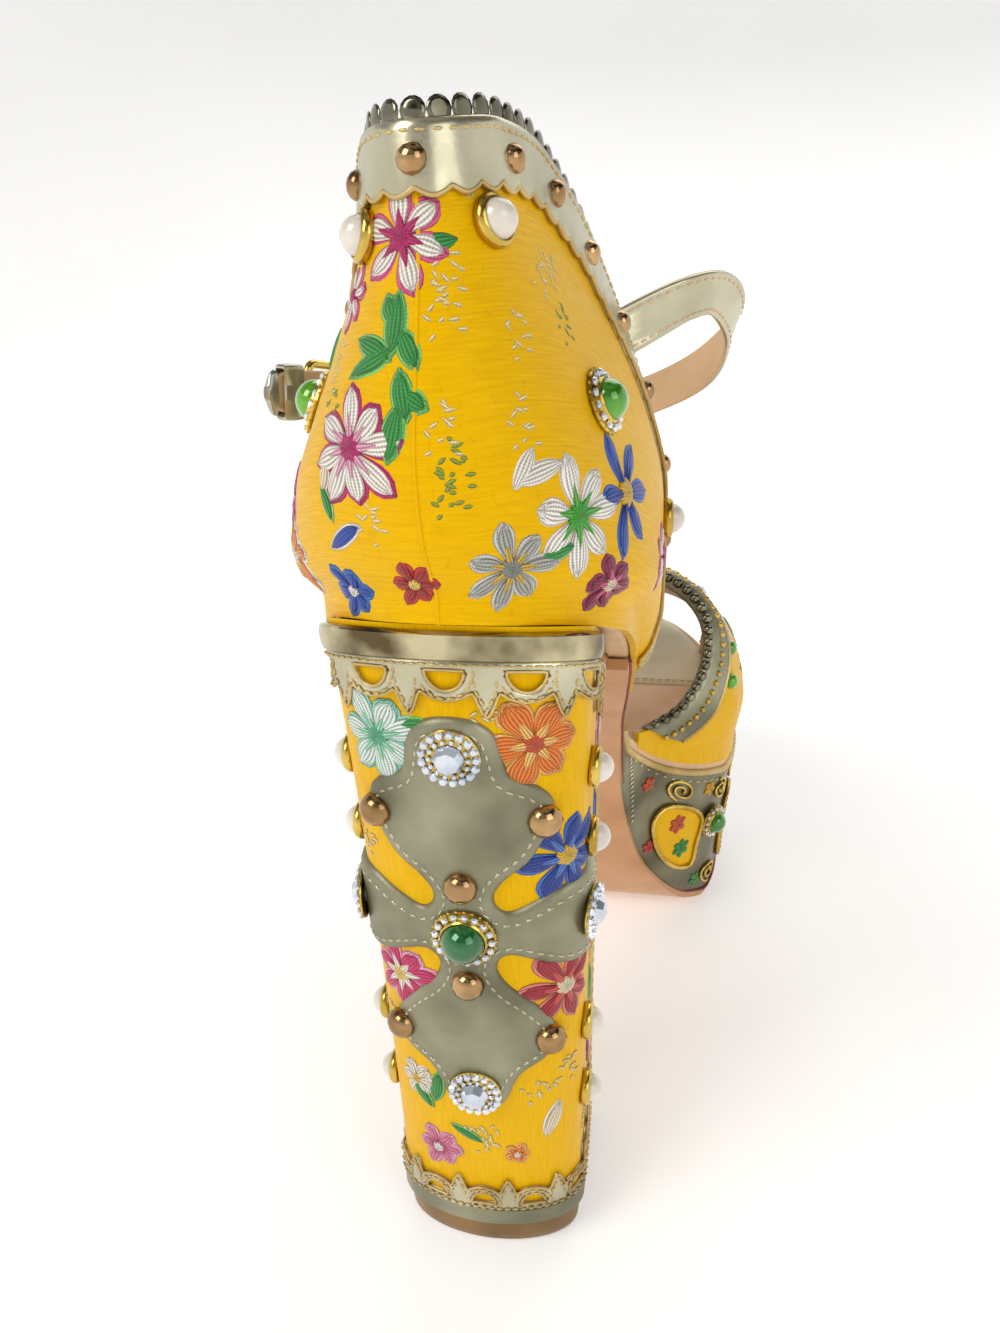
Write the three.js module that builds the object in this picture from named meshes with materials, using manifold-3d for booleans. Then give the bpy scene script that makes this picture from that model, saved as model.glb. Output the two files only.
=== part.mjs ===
// A woman's left platform sandal with a high block heel, in millimetres, +Z up, +Y to the toe, +X to the inner side.
// The origin is the middle of the heel's tread on the floor. A closed heel counter, an open-toed vamp and an ankle
// strap stand on a sole with a thick covered platform, and set stones and gilt trims are fixed on them.
import * as THREE from "three";
import { mergeVertices } from "three/addons/utils/BufferGeometryUtils.js";
import Module from "manifold-3d";

// Sole sizes
const soleLength = 223; // heel back to toe tip, along the floor
const soleBack = -27; // y of the sole's back edge
const seatWidth = 53;
const ballWidth = 88;
const seatHeight = 156; // top of the board at the heel's back
const platformHeight = 51; // top of the board at the ball
const toeSpring = 16;
const boardThickness = 5;
const outsoleThickness = 2.4;
const insoleThickness = 1.6;
const platformTaper = 3.5; // how far the platform's foot stands inside its top
const fit = 0.3; // gap between pieces that touch

// Upper sizes
const counterHeight = 66; // counter's back edge above the seat
const counterLength = 80; // its lower edge, back to front
const counterWall = 2.6;
const seamRadius = 6; // of the counter's back in plan, near its top
const vampHeight = 62; // vamp's highest section above the sole
const vampRear = 79; // y where the vamp starts at the sole
const vampThroat = 128; // y of its throat's top
const vampFront = 181; // y of its front edge at the sole
const vampToe = 171; // y of its front edge at the top
const vampWall = 2.4;
const bandWidth = 8.5;
const bandThickness = 1.1;

// Heel sizes
const heelWidth = 47.5; // at the seat
const heelDepth = 54; // at the seat, back to breast
const heelBack = -26.4; // y of its back at the seat
const topLiftHeight = 6.5;
const heelBandHeight = 5;
const ruffleHeight = 10.5;
const footTrimHeight = 11; // above the top lift, between its waves
const footTrimWave = 3;
const appliqueHeight = 0.596 * seatHeight;
const appliqueCentre = 0.558 * seatHeight; // height above the floor
const armEnd = 3; // how far behind the tread's middle the appliqué's side arms end

// Strap and buckle sizes
const strapWidth = 9;
const strapThickness = 1.6;
const buckleLength = 9;
const buckleWire = 2;
const keeperLength = 5;
const keeperWall = 1;
const buckleShare = 0.87; // the buckle's place along the ankle strap
const keeperShare = 0.955;

// Set stones and studs
const pearlRadius = 2.9;
const cabochonRadius = 4.2; // the heel's
const smallCabochonRadius = 3.4;
const clusterRadius = 5.6;
const studRadius = 3.3;

// The sole, a row for each station: along its length, its top between platform and seat, its toe lift, its depth in
// platform heights, and its half widths in the width there, which goes from the seat's to the ball's as the top falls
const soleStations = [
  { along: 0.0, rise: 1.0, lift: 0, depth: 0.16, inner: 0.500, outer: 0.500 },
  { along: 0.04, rise: 0.972, lift: 0, depth: 0.16, inner: 0.491, outer: 0.491 },
  { along: 0.121, rise: 0.893, lift: 0, depth: 0.16, inner: 0.467, outer: 0.467 },
  { along: 0.211, rise: 0.79, lift: 0, depth: 0.16, inner: 0.439, outer: 0.443 },
  { along: 0.278, rise: 0.69, lift: 0, depth: 0.16, inner: 0.407, outer: 0.423 },
  { along: 0.345, rise: 0.567, lift: 0, depth: 0.165, inner: 0.359, outer: 0.396 },
  { along: 0.413, rise: 0.415, lift: 0, depth: 0.2, inner: 0.307, outer: 0.374 },
  { along: 0.475, rise: 0.262, lift: 0, depth: 0.36, inner: 0.289, outer: 0.368 },
  { along: 0.516, rise: 0.175, lift: 0, depth: 0.62, inner: 0.330, outer: 0.373 },
  { along: 0.56, rise: 0.095, lift: 0, depth: 0.88, inner: 0.419, outer: 0.380 },
  { along: 0.605, rise: 0.042, lift: 0, depth: 1.02, inner: 0.515, outer: 0.388 },
  { along: 0.65, rise: 0.012, lift: 0, depth: 1.04, inner: 0.583, outer: 0.388 },
  { along: 0.704, rise: 0, lift: 0, depth: 1.02, inner: 0.605, outer: 0.377 },
  { along: 0.758, rise: 0, lift: 0.01, depth: 1.02, inner: 0.612, outer: 0.355 },
  { along: 0.816, rise: 0, lift: 0.09, depth: 1.016, inner: 0.6, outer: 0.327 },
  { along: 0.874, rise: 0, lift: 0.28, depth: 1.037, inner: 0.562, outer: 0.275 },
  { along: 0.928, rise: 0, lift: 0.56, depth: 1.075, inner: 0.506, outer: 0.188 },
  { along: 0.964, rise: 0, lift: 0.8, depth: 1.108, inner: 0.426, outer: 0.102 },
  { along: 0.987, rise: 0, lift: 0.93, depth: 1.12, inner: 0.347, outer: 0.023 },
  { along: 1.0, rise: 0, lift: 1.0, depth: 1.13, inner: 0.244, outer: -0.085 },
];

// The counter's level sections: height in counter heights, where its back lies and how far its round back reaches in
// counter lengths, its width in sole widths, how pointed the back is, and its lean to the inner side in seat widths
const counterSections = [
  { height: 0.0, back: 0.0, reach: 0.34, width: 1.05, point: 0.5, lean: 0 },
  { height: 0.06, back: -0.02, reach: 0.4, width: 1.2, point: 0.5, lean: -0.008 },
  { height: 0.15, back: -0.04, reach: 0.5, width: 1.27, point: 0.51, lean: -0.018 },
  { height: 0.3, back: -0.05, reach: 0.62, width: 1.27, point: 0.54, lean: -0.02 },
  { height: 0.45, back: -0.038, reach: 0.74, width: 1.25, point: 0.6, lean: -0.012 },
  { height: 0.6, back: -0.006, reach: 0.84, width: 1.21, point: 0.67, lean: -0.005 },
  { height: 0.75, back: 0.035, reach: 0.9, width: 1.15, point: 0.76, lean: -0.005 },
  { height: 0.9, back: 0.07, reach: 0.95, width: 1.08, point: 0.86, lean: -0.013 },
  { height: 1.05, back: 0.095, reach: 0.98, width: 1.02, point: 0.93, lean: -0.02 },
  { height: 1.2, back: 0.115, reach: 1.0, width: 0.98, point: 0.98, lean: -0.024 },
];

// The counter's top edge: its height above the sole in counter heights on the inner and the outer side, at shares of
// the counter's length
const toplineRows = [
  { along: 0.0, inner: 1.02, outer: 1.02 },
  { along: 0.12, inner: 1.09, outer: 1.05 },
  { along: 0.28, inner: 1.14, outer: 1.03 },
  { along: 0.43, inner: 1.12, outer: 0.96 },
  { along: 0.57, inner: 1.05, outer: 0.885 },
  { along: 0.7, inner: 0.95, outer: 0.8 },
  { along: 0.8, inner: 0.835, outer: 0.71 },
  { along: 0.88, inner: 0.69, outer: 0.61 },
  { along: 0.95, inner: 0.56, outer: 0.52 },
  { along: 1.0, inner: 0.46, outer: 0.44 },
];

// The vamp's upright sections: their height in vamp heights, at shares of the vamp's length, and their bulge
const vampSections = [
  { along: 0.0, height: 1.0, bulge: 1.5 },
  { along: 0.25, height: 1.0, bulge: 3.0 },
  { along: 0.48, height: 0.94, bulge: 3.2 },
  { along: 0.65, height: 0.8, bulge: 2.4 },
  { along: 0.82, height: 0.62, bulge: 1.4 },
  { along: 0.93, height: 0.49, bulge: 0.8 },
  { along: 1.0, height: 0.43, bulge: 0.5 },
];

// The heel's level sections: height in seat heights, and width, back and breast in the heel's sizes at the seat
const heelSections = [
  { height: 0.0, width: 0.825, back: 0.135, breast: 0.88 },
  { height: 0.15, width: 0.835, back: 0.13, breast: 0.883 },
  { height: 0.4, width: 0.865, back: 0.11, breast: 0.9 },
  { height: 0.65, width: 0.905, back: 0.077, breast: 0.925 },
  { height: 0.82, width: 0.945, back: 0.043, breast: 0.96 },
  { height: 1.0, width: 1.0, back: 0.0, breast: 1.0 },
];

// Half the appliqué's outline from its top to its foot, across and up in appliqué heights
const appliqueHalf = [
  { across: 0.0, up: 0.5 },
  { across: 0.075, up: 0.465 },
  { across: 0.095, up: 0.38 },
  { across: 0.16, up: 0.34 },
  { across: 0.178, up: 0.26 },
  { across: 0.13, up: 0.175 },
  { across: 0.05, up: 0.1 },
  { across: 0.08, up: 0.055 },
  { across: 0.15, up: 0.08 },
  { across: 0.2, up: 0.1 },
  { across: 0.29, up: 0.105 },
  { across: 0.3, up: 0.0 },
  { across: 0.29, up: -0.105 },
  { across: 0.2, up: -0.1 },
  { across: 0.15, up: -0.08 },
  { across: 0.08, up: -0.055 },
  { across: 0.05, up: -0.1 },
  { across: 0.135, up: -0.19 },
  { across: 0.185, up: -0.3 },
  { across: 0.11, up: -0.38 },
  { across: 0.07, up: -0.46 },
  { across: 0.0, up: -0.5 },
];

// The ankle strap's route: across in seat widths from the middle, ahead in counter lengths from the sole's back,
// up in counter heights from the seat, and how far its upper edge leans outward in degrees
const strapRoute = [
  { side: 0.68, ahead: 0.98, up: 0.545, lean: 12 },
  { side: 0.8, ahead: 1.12, up: 0.535, lean: 22 },
  { side: 0.85, ahead: 1.26, up: 0.425, lean: 18 },
  { side: 0.72, ahead: 1.4, up: 0.255, lean: 8 },
  { side: 0.38, ahead: 1.47, up: 0.122, lean: 0 },
  { side: 0.0, ahead: 1.47, up: 0.075, lean: 0 },
  { side: -0.36, ahead: 1.38, up: 0.113, lean: 4 },
  { side: -0.62, ahead: 1.2, up: 0.188, lean: 8 },
  { side: -0.75, ahead: 1.02, up: 0.254, lean: 6 },
  { side: -0.84, ahead: 0.87, up: 0.291, lean: 0 },
  { side: -0.94, ahead: 0.76, up: 0.31, lean: 0 },
];
// Where the straps start on the counter: along its length, and above the sole in counter heights on each side
const strapRoot = [
  { along: 0.58, inner: 0.89, outer: 0.76 },
  { along: 0.66, inner: 0.945, outer: 0.79 },
  { along: 0.74, inner: 1.0, outer: 0.85 },
];
const buckleStrapRoute = [
  { side: -0.625, ahead: 0.86, up: 0.31, lean: 4 },
  { side: -0.665, ahead: 0.99, up: 0.268, lean: 6 },
];

const leather = new THREE.MeshStandardMaterial({ color: 0xc9c19a, roughness: 0.35, metalness: 0.6 });
const gold = new THREE.MeshStandardMaterial({ color: 0xd8b768, roughness: 0.2, metalness: 0.95 });
const brocade = new THREE.MeshStandardMaterial({ color: 0xe3a112, roughness: 0.5, metalness: 0.1 });
const pewter = new THREE.MeshStandardMaterial({ color: 0x8d8a72, roughness: 0.4, metalness: 0.6 });
const tan = new THREE.MeshStandardMaterial({ color: 0xc9986a, roughness: 0.55, metalness: 0 });
const cream = new THREE.MeshStandardMaterial({ color: 0xd9d0b4, roughness: 0.6, metalness: 0 });
const amber = new THREE.MeshStandardMaterial({ color: 0x9a7434, roughness: 0.5, metalness: 0 });
const pearl = new THREE.MeshStandardMaterial({ color: 0xf0ece2, roughness: 0.2, metalness: 0 });
const green = new THREE.MeshStandardMaterial({ color: 0x3f8f1c, roughness: 0.1, metalness: 0.2 });
const crystal = new THREE.MeshStandardMaterial({ color: 0xdde3ea, roughness: 0.05, metalness: 0.1 });

const group = new THREE.Group();
const wasm = await Module();
wasm.setup();

// A smooth reading of a table, with no overshoot between its rows
function read(rows, by, key, at) {
  const last = rows.length - 1;
  const where = Math.min(Math.max(at, rows[0][by]), rows[last][by]);
  let i = 0;
  while (i < last - 1 && where > rows[i + 1][by]) i += 1;
  const slope = (k) => (rows[k + 1][key] - rows[k][key]) / (rows[k + 1][by] - rows[k][by]);
  const tangent = (k) => {
    if (k === 0) return slope(0);
    if (k === last) return slope(last - 1);
    const before = slope(k - 1);
    const after = slope(k);
    return before * after <= 0 ? 0 : (2 * before * after) / (before + after);
  };
  const span = rows[i + 1][by] - rows[i][by];
  const t = (where - rows[i][by]) / span;
  const rise = (1 - t) * (1 - t);
  return (
    rise * (1 + 2 * t) * rows[i][key] +
    rise * t * span * tangent(i) +
    t * t * (3 - 2 * t) * rows[i + 1][key] -
    t * t * (1 - t) * span * tangent(i + 1)
  );
}

// Sole shape
const soleRow = (key, y) => read(soleStations, "along", key, (y - soleBack) / soleLength);
const soleTop = (y) =>
  platformHeight + soleRow("rise", y) * (seatHeight - platformHeight) + soleRow("lift", y) * toeSpring;
const soleSlope = (y) => soleTop(y + 0.5) - soleTop(y - 0.5);
const leastDepth = (y) => boardThickness + (outsoleThickness + 2.2 * fit) * Math.hypot(1, soleSlope(y));
const soleUnder = (y) => Math.max(0, soleTop(y) - Math.max(leastDepth(y), soleRow("depth", y) * platformHeight));
const backRound = (s, reach, power) => (1 - (1 - Math.min(1, Math.max(0, s / reach))) ** 1.6) ** power;
const soleGirth = (y) => ballWidth + (seatWidth - ballWidth) * soleRow("rise", y);
const soleSide = (side, y) => soleRow(side > 0 ? "inner" : "outer", y) * soleGirth(y);
const soleEdge = (side, y) =>
  side * soleSide(side, y) * Math.max(0.07, backRound(y - soleBack, 0.34 * counterLength, 0.5));

// Unit normal of the underside's profile, pointing into the sole
function underNormal(y) {
  const step = 0.5;
  const slope = (soleUnder(y + step) - soleUnder(y - step)) / (2 * step);
  return { y: -slope / Math.hypot(1, slope), z: 1 / Math.hypot(1, slope) };
}

// A closed plate between two grids of points of the same size, the first on its outer face
function plate(outer, inner) {
  const rows = outer.length;
  const cols = outer[0].length;
  const points = [...outer.flat(), ...inner.flat()].flatMap((p) => [p.x, p.y, p.z]);
  const at = (face, i, j) => face * rows * cols + i * cols + j;
  const index = [];
  const quad = (a, b, c, d) => index.push(a, b, c, a, c, d);
  for (let i = 0; i < rows - 1; i += 1) {
    for (let j = 0; j < cols - 1; j += 1) {
      quad(at(0, i, j), at(0, i + 1, j), at(0, i + 1, j + 1), at(0, i, j + 1));
      quad(at(1, i, j), at(1, i, j + 1), at(1, i + 1, j + 1), at(1, i + 1, j));
    }
    quad(at(0, i, 0), at(1, i, 0), at(1, i + 1, 0), at(0, i + 1, 0));
    quad(at(0, i + 1, cols - 1), at(1, i + 1, cols - 1), at(1, i, cols - 1), at(0, i, cols - 1));
  }
  for (let j = 0; j < cols - 1; j += 1) {
    quad(at(0, 0, j + 1), at(1, 0, j + 1), at(1, 0, j), at(0, 0, j));
    quad(at(0, rows - 1, j), at(1, rows - 1, j), at(1, rows - 1, j + 1), at(0, rows - 1, j + 1));
  }
  return closed(points, index);
}

// A closed stack of rings of points, capped with a fan at both ends
function stack(rings) {
  const count = rings[0].length;
  const points = rings.flat().flatMap((p) => [p.x, p.y, p.z]);
  const index = [];
  for (let i = 0; i < rings.length - 1; i += 1) {
    for (let j = 0; j < count; j += 1) {
      const k = (j + 1) % count;
      index.push(i * count + j, i * count + k, (i + 1) * count + k);
      index.push(i * count + j, (i + 1) * count + k, (i + 1) * count + j);
    }
  }
  for (const end of [0, rings.length - 1]) {
    const centre = points.length / 3;
    const middle = new THREE.Vector3();
    for (const p of rings[end]) middle.addScaledVector(p, 1 / count);
    points.push(middle.x, middle.y, middle.z);
    for (let j = 0; j < count; j += 1) {
      const k = (j + 1) % count;
      const [a, b] = end === 0 ? [k, j] : [j, k];
      index.push(end * count + a, end * count + b, centre);
    }
  }
  return closed(points, index);
}

// A geometry with its volume made positive
function closed(points, index) {
  let volume = 0;
  const corner = (i) => new THREE.Vector3().fromArray(points, 3 * index[i]);
  for (let i = 0; i < index.length; i += 3) {
    volume += corner(i).dot(corner(i + 1).cross(corner(i + 2)));
  }
  if (volume < 0) {
    for (let i = 0; i < index.length; i += 3) [index[i], index[i + 1]] = [index[i + 1], index[i]];
  }
  const geometry = new THREE.BufferGeometry();
  geometry.setAttribute("position", new THREE.Float32BufferAttribute(points, 3));
  geometry.setIndex(index);
  return geometry;
}

function toSolid(geometry) {
  const bare = geometry.clone();
  bare.deleteAttribute("normal");
  bare.deleteAttribute("uv");
  const merged = mergeVertices(bare, 1e-4);
  return new wasm.Manifold(
    new wasm.Mesh({
      numProp: 3,
      vertProperties: new Float32Array(merged.attributes.position.array),
      triVerts: new Uint32Array(merged.index.array),
    })
  );
}

function fromSolid(solid) {
  const mesh = solid.getMesh();
  const geometry = new THREE.BufferGeometry();
  geometry.setAttribute("position", new THREE.BufferAttribute(mesh.vertProperties, 3));
  geometry.setIndex(new THREE.BufferAttribute(mesh.triVerts, 1));
  return geometry;
}

function add(name, geometry, material) {
  const mesh = new THREE.Mesh(geometry, material);
  mesh.name = name;
  group.add(mesh);
  return mesh;
}

const steps = (count) => Array.from({ length: count + 1 }, (_, i) => i / count);
const lerp = (a, b, t) => a + (b - a) * t;
const soleToe = soleBack + soleLength;
const easeEnds = (t) => 0.5 - 0.5 * Math.cos(Math.PI * t);
const soleYs = steps(46).map((t) => lerp(soleBack, soleToe, easeEnds(t)));
const soleYsFrom = (from, to) => [from, ...soleYs.filter((y) => y > from + 1 && y < to - 0.2), to];

// A grid across the sole at some height, drawn in from its edge
function soleGrid(ys, inset, height) {
  return ys.map((y) =>
    steps(1).map((t) => {
      const inner = soleEdge(1, y) - inset(y);
      const outer = soleEdge(-1, y) + inset(y);
      return new THREE.Vector3(lerp(outer, inner, t), y, height(y));
    })
  );
}

// Outsole, platform, board and insole
const breast = heelBack + heelDepth + 2;
const taper = (y) => platformTaper * Math.min(1, Math.max(0, soleRow("depth", y) - 0.16) / 0.6);
function underGrid(ys, above) {
  return ys.map((y) => {
    const normal = underNormal(y);
    return steps(1).map((t) => {
      const inner = soleEdge(1, y) - taper(y);
      const outer = soleEdge(-1, y) + taper(y);
      return new THREE.Vector3(lerp(outer, inner, t), y + normal.y * above, soleUnder(y) + normal.z * above);
    });
  });
}
const outsoleYs = soleYsFrom(breast, soleToe - 0.5);
add("outsole", plate(underGrid(outsoleYs, outsoleThickness), underGrid(outsoleYs, 0)), tan);

const none = () => 0;
const boardUnder = (y) => soleTop(y) - boardThickness;
add("board", plate(soleGrid(soleYs, none, soleTop), soleGrid(soleYs, none, boardUnder)), brocade);

const platformStart = outsoleYs.find((y) => y > soleBack + 0.42 * soleLength);
const platformYs = outsoleYs.filter((y) => y >= platformStart);
const platformTop = soleGrid(platformYs, none, (y) => boardUnder(y) - fit);
add("platform", plate(platformTop, underGrid(platformYs, outsoleThickness + fit)), pewter);

const insoleInset = () => counterWall + 4 * fit;
const insoleYs = soleYsFrom(soleBack + 2 * counterWall, soleToe - insoleInset());
const insoleTop = soleGrid(insoleYs, insoleInset, (y) => soleTop(y) + fit + insoleThickness);
add("insole", plate(insoleTop, soleGrid(insoleYs, insoleInset, (y) => soleTop(y) + fit)), cream);

// Counter: a point on its outer face, by side, share of its length and height above the sole
function counterPoint(side, along, height) {
  const row = (key) => read(counterSections, "height", key, height);
  const back = soleBack + row("back") * counterLength;
  const s = along * counterLength;
  const y = back + s;
  const round = backRound(s, row("reach") * counterLength, row("point"));
  const full = soleSide(side, Math.max(y, soleBack)) * row("width");
  const nose = 2 * seamRadius * s * (1 - Math.min(1, along)) ** 5 * Math.min(1, height / 0.3);
  const half = Math.hypot(full * round, Math.sqrt(Math.max(0, nose)));
  return new THREE.Vector3(side * half + row("lean") * seatWidth, y, soleTop(y) + height * counterHeight);
}

// The same by one number that runs from the outer front edge (-1) round the back to the inner front edge (1)
const counterAt = (u, height) => counterPoint(u < 0 ? -1 : 1, u * u, height);
const toplineAt = (u) => read(toplineRows, "along", u < 0 ? "outer" : "inner", u * u);

// A surface's point moved out along its own normal
function raise(surface, u, v, out) {
  const d = 0.004;
  const here = surface(u, v);
  const du = surface(u + d, v).sub(surface(u - d, v));
  const dv = surface(u, v + d).sub(surface(u, v - d));
  return here.addScaledVector(du.cross(dv).normalize(), out);
}
const counterOut = (u, height, out) => raise(counterAt, u, height, out);

// Band along the counter's top and front edges, and the counter's wall on the same rows
const base = fit / counterHeight;
function toplineDrop(u) {
  const d = 0.01;
  const edge = (v) => counterAt(v, toplineAt(v));
  const run = edge(u + d).sub(edge(u - d));
  const steep = Math.abs(run.z) / Math.max(0.5, Math.hypot(run.x, run.y));
  return Math.min(toplineAt(u) - 2 * base, (bandWidth * Math.hypot(1, steep)) / counterHeight);
}
const counterUs = steps(48).map((t) => lerp(-1, 1, t));
function toplineBand(out) {
  return counterUs.map((u) => {
    const top = toplineAt(u);
    return steps(2).map((t) => counterOut(u, lerp(top - toplineDrop(u), top, t), out));
  });
}
function counterGrid(out) {
  const band = toplineBand(out);
  return counterUs.map((u, i) => {
    const low = toplineAt(u) - toplineDrop(u);
    const wall = steps(6).slice(0, -1).map((t) => counterOut(u, lerp(base, low, t ** 1.3), out));
    return [...wall, ...band[i]];
  });
}
add("counter", plate(counterGrid(0), counterGrid(-counterWall)), brocade);
add("topline_band", plate(toplineBand(fit + bandThickness), toplineBand(fit)), leather);

// Vamp: a point on its outer face, by turn from the outer side (0) over the top to the inner side (1) and by y
const vampLength = vampFront - vampRear;
function vampAt(turn, y) {
  const angle = Math.PI * turn;
  const row = (key) => read(vampSections, "along", key, (y - vampRear) / vampLength);
  const power = 2 / 2.6;
  const bend = Math.abs(Math.cos(angle)) ** power * Math.sign(-Math.cos(angle));
  const up = Math.abs(Math.sin(angle)) ** power;
  const inner = soleEdge(1, y) + row("bulge") * Math.min(1, 4 * up);
  const outer = soleEdge(-1, y) - row("bulge") * Math.min(1, 4 * up);
  const height = up * row("height") * vampHeight + fit;
  return new THREE.Vector3(lerp(outer, inner, 0.5 + 0.5 * bend), y, soleTop(y) + height);
}
const throatY = (turn) => lerp(vampRear, vampThroat, (1 - Math.abs(2 * turn - 1)) ** 0.42);
const frontY = (turn) => lerp(vampFront, vampToe, Math.sin(Math.PI * turn));
const vampTurns = steps(28).map((t) => 0.5 - 0.5 * Math.cos(Math.PI * t)).map((t) => lerp(0.0015, 0.9985, t));
function vampOut(turn, y, out) {
  const d = 0.0012;
  const across = vampAt(turn + d, y).sub(vampAt(turn - d, y));
  const ahead = vampAt(turn, y + 1).sub(vampAt(turn, y - 1));
  const normal = ahead.cross(across).normalize();
  if (normal.z < 0.02) normal.setZ(0.02).normalize();
  return vampAt(turn, y).addScaledVector(normal, out);
}
function vampGrid(out) {
  return vampTurns.map((turn) => steps(10).map((j) => vampOut(turn, lerp(throatY(turn), frontY(turn), j), out)));
}
add("vamp", plate(vampGrid(0), vampGrid(-vampWall)), brocade);

// Band along the vamp's throat
const throatBandTurns = vampTurns.slice(2, -2);
function throatBand(out) {
  return throatBandTurns.map((turn) => {
    const side = Math.abs(2 * turn - 1);
    const width = bandWidth * lerp(1, 1.7, side);
    return steps(2).map((j) => vampOut(turn, throatY(turn) + width * j, out));
  });
}
add("throat_band", plate(throatBand(fit + bandThickness), throatBand(fit)), pewter);

// Heel: a point on its side, by one number from the outer breast edge (-1) round the back to the inner one (1)
function heelAt(u, z) {
  const row = (key) => read(heelSections, "height", key, z / seatHeight);
  const half = (row("width") * heelWidth) / 2;
  const back = heelBack + row("back") * heelDepth;
  const front = heelBack + row("breast") * heelDepth;
  const roundShare = 0.64;
  const deep = half * 0.52;
  const away = Math.abs(u);
  if (away <= roundShare) {
    const angle = (u / roundShare) * (Math.PI / 2);
    return new THREE.Vector3(half * Math.sin(angle), back + deep * (1 - Math.cos(angle)), z);
  }
  const t = (away - roundShare) / (1 - roundShare);
  return new THREE.Vector3(Math.sign(u) * half * (1 - 0.1 * t * t), lerp(back + deep, front, t), z);
}
function heelOut(u, z, out) {
  const d = 0.004;
  const around = heelAt(u + d, z).sub(heelAt(u - d, z));
  const up = heelAt(u, z + 1).sub(heelAt(u, z - 1));
  return heelAt(u, z).addScaledVector(around.cross(up).normalize(), out);
}
function heelRing(z, out) {
  const side = steps(30).map((i) => heelOut(lerp(-1, 1, i), z, out));
  const first = side[0];
  const last = side[side.length - 1];
  const hollow = steps(6).slice(1, -1).map((i) => {
    const p = last.clone().lerp(first, i);
    return p.setY(p.y - 1.6 * Math.sin(Math.PI * i));
  });
  return [...side, ...hollow];
}
const seatUnder = (y) => boardUnder(y) - fit;
function heelBlock(from, to, out) {
  return toSolid(stack(steps(9).map((i) => heelRing(lerp(from, to, i), out))));
}
const seatYs = [soleBack - heelDepth, ...soleYs.filter((y) => y < breast + heelDepth)];
const above = plate(
  seatYs.map((y) => [-1, 1].map((side) => new THREE.Vector3(side * seatWidth, y, seatHeight + counterHeight))),
  seatYs.map((y) => [-1, 1].map((side) => new THREE.Vector3(side * seatWidth, y, seatUnder(y))))
);
const aboveSeat = toSolid(above);
const heelSolid = heelBlock(topLiftHeight + fit, seatHeight + 5, 0).subtract(aboveSeat);
add("heel", fromSolid(heelSolid), brocade);
add("top_lift", stack([heelRing(0, -0.8), heelRing(topLiftHeight / 2, -0.2), heelRing(topLiftHeight, 0)]), amber);

// Bands round the heel: below the seat, and above the top lift
const heelU = 0.985;
function heelBand(lower, upper, out) {
  return steps(44).map((i) => {
    const u = lerp(-heelU, heelU, i);
    return steps(2).map((j) => heelOut(u, lerp(lower(u), upper(u), j), out));
  });
}
const seatLine = (u) => seatUnder(heelAt(u, seatHeight).y) - 3 * fit;
const bandFoot = (u) => seatLine(u) - heelBandHeight;
const wave = (u, count) => Math.abs(Math.sin(Math.PI * count * u));
const ruffleFoot = (u) => bandFoot(u) - fit - ruffleHeight * (0.58 + 0.42 * wave(u, 5.5));
add(
  "heel_top_band",
  plate(heelBand(bandFoot, seatLine, fit + bandThickness), heelBand(bandFoot, seatLine, fit)),
  gold
);
const ruffleTop = (u) => bandFoot(u) - fit;
add(
  "heel_top_trim",
  plate(heelBand(ruffleFoot, ruffleTop, fit + bandThickness), heelBand(ruffleFoot, ruffleTop, fit)),
  leather
);
const footTrimLow = () => topLiftHeight + 3 * fit;
const footTrimTop = (u) => topLiftHeight + footTrimHeight + footTrimWave * wave(u, 4.5);
add(
  "heel_foot_trim",
  plate(heelBand(footTrimLow, footTrimTop, fit + bandThickness), heelBand(footTrimLow, footTrimTop, fit)),
  leather
);

// Appliqué on the heel's back: its outline cut from a skin round the heel
const outline = [
  ...appliqueHalf,
  ...appliqueHalf.slice(1, -1).reverse().map((p) => ({ across: -p.across, up: p.up })),
].map((p) => new THREE.Vector3(p.across * appliqueHeight, p.up * appliqueHeight, 0));
const outlineCurve = new THREE.CatmullRomCurve3(outline, true, "centripetal");
const outlineShape = new THREE.Shape(outlineCurve.getPoints(90).slice(0, -1).map((p) => new THREE.Vector2(p.x, p.y)));
const stamp = new THREE.ExtrudeGeometry(outlineShape, { depth: heelDepth, bevelEnabled: false });
stamp.rotateX(Math.PI / 2);
stamp.translate(0, -armEnd, appliqueCentre);
const skinLow = appliqueCentre - 0.55 * appliqueHeight;
const skinTop = appliqueCentre + 0.55 * appliqueHeight;
const skin = heelBlock(skinLow, skinTop, fit + bandThickness).subtract(heelBlock(skinLow - 1, skinTop + 1, fit));
add("heel_applique", fromSolid(skin.intersect(toSolid(stamp))), leather);

// A round set stone or stud, standing up from the origin
function setStone(radius, rim, height) {
  const profile = [new THREE.Vector2(0, 0), new THREE.Vector2(rim, 0), new THREE.Vector2(rim, 0.3 * height)];
  for (const t of steps(3)) {
    const angle = (t * Math.PI) / 2;
    profile.push(new THREE.Vector2(radius * Math.cos(angle), height * (0.36 + 0.64 * Math.sin(angle))));
  }
  profile[profile.length - 1].x = 0;
  const geometry = new THREE.LatheGeometry(profile, 11);
  geometry.rotateX(Math.PI / 2);
  return geometry;
}
function place(name, geometry, material, point, outward) {
  const mesh = add(name, geometry, material);
  mesh.position.copy(point);
  mesh.quaternion.setFromUnitVectors(new THREE.Vector3(0, 0, 1), outward);
}
function onHeel(name, geometry, material, u, z, out) {
  const point = heelOut(u, z, out);
  place(name, geometry, material, point, heelOut(u, z, out + 1).sub(point).normalize());
}
function onCounter(name, geometry, material, u, height, out) {
  const point = counterOut(u, height, out);
  place(name, geometry, material, point, counterOut(u, height, out + 1).sub(point).normalize());
}

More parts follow.
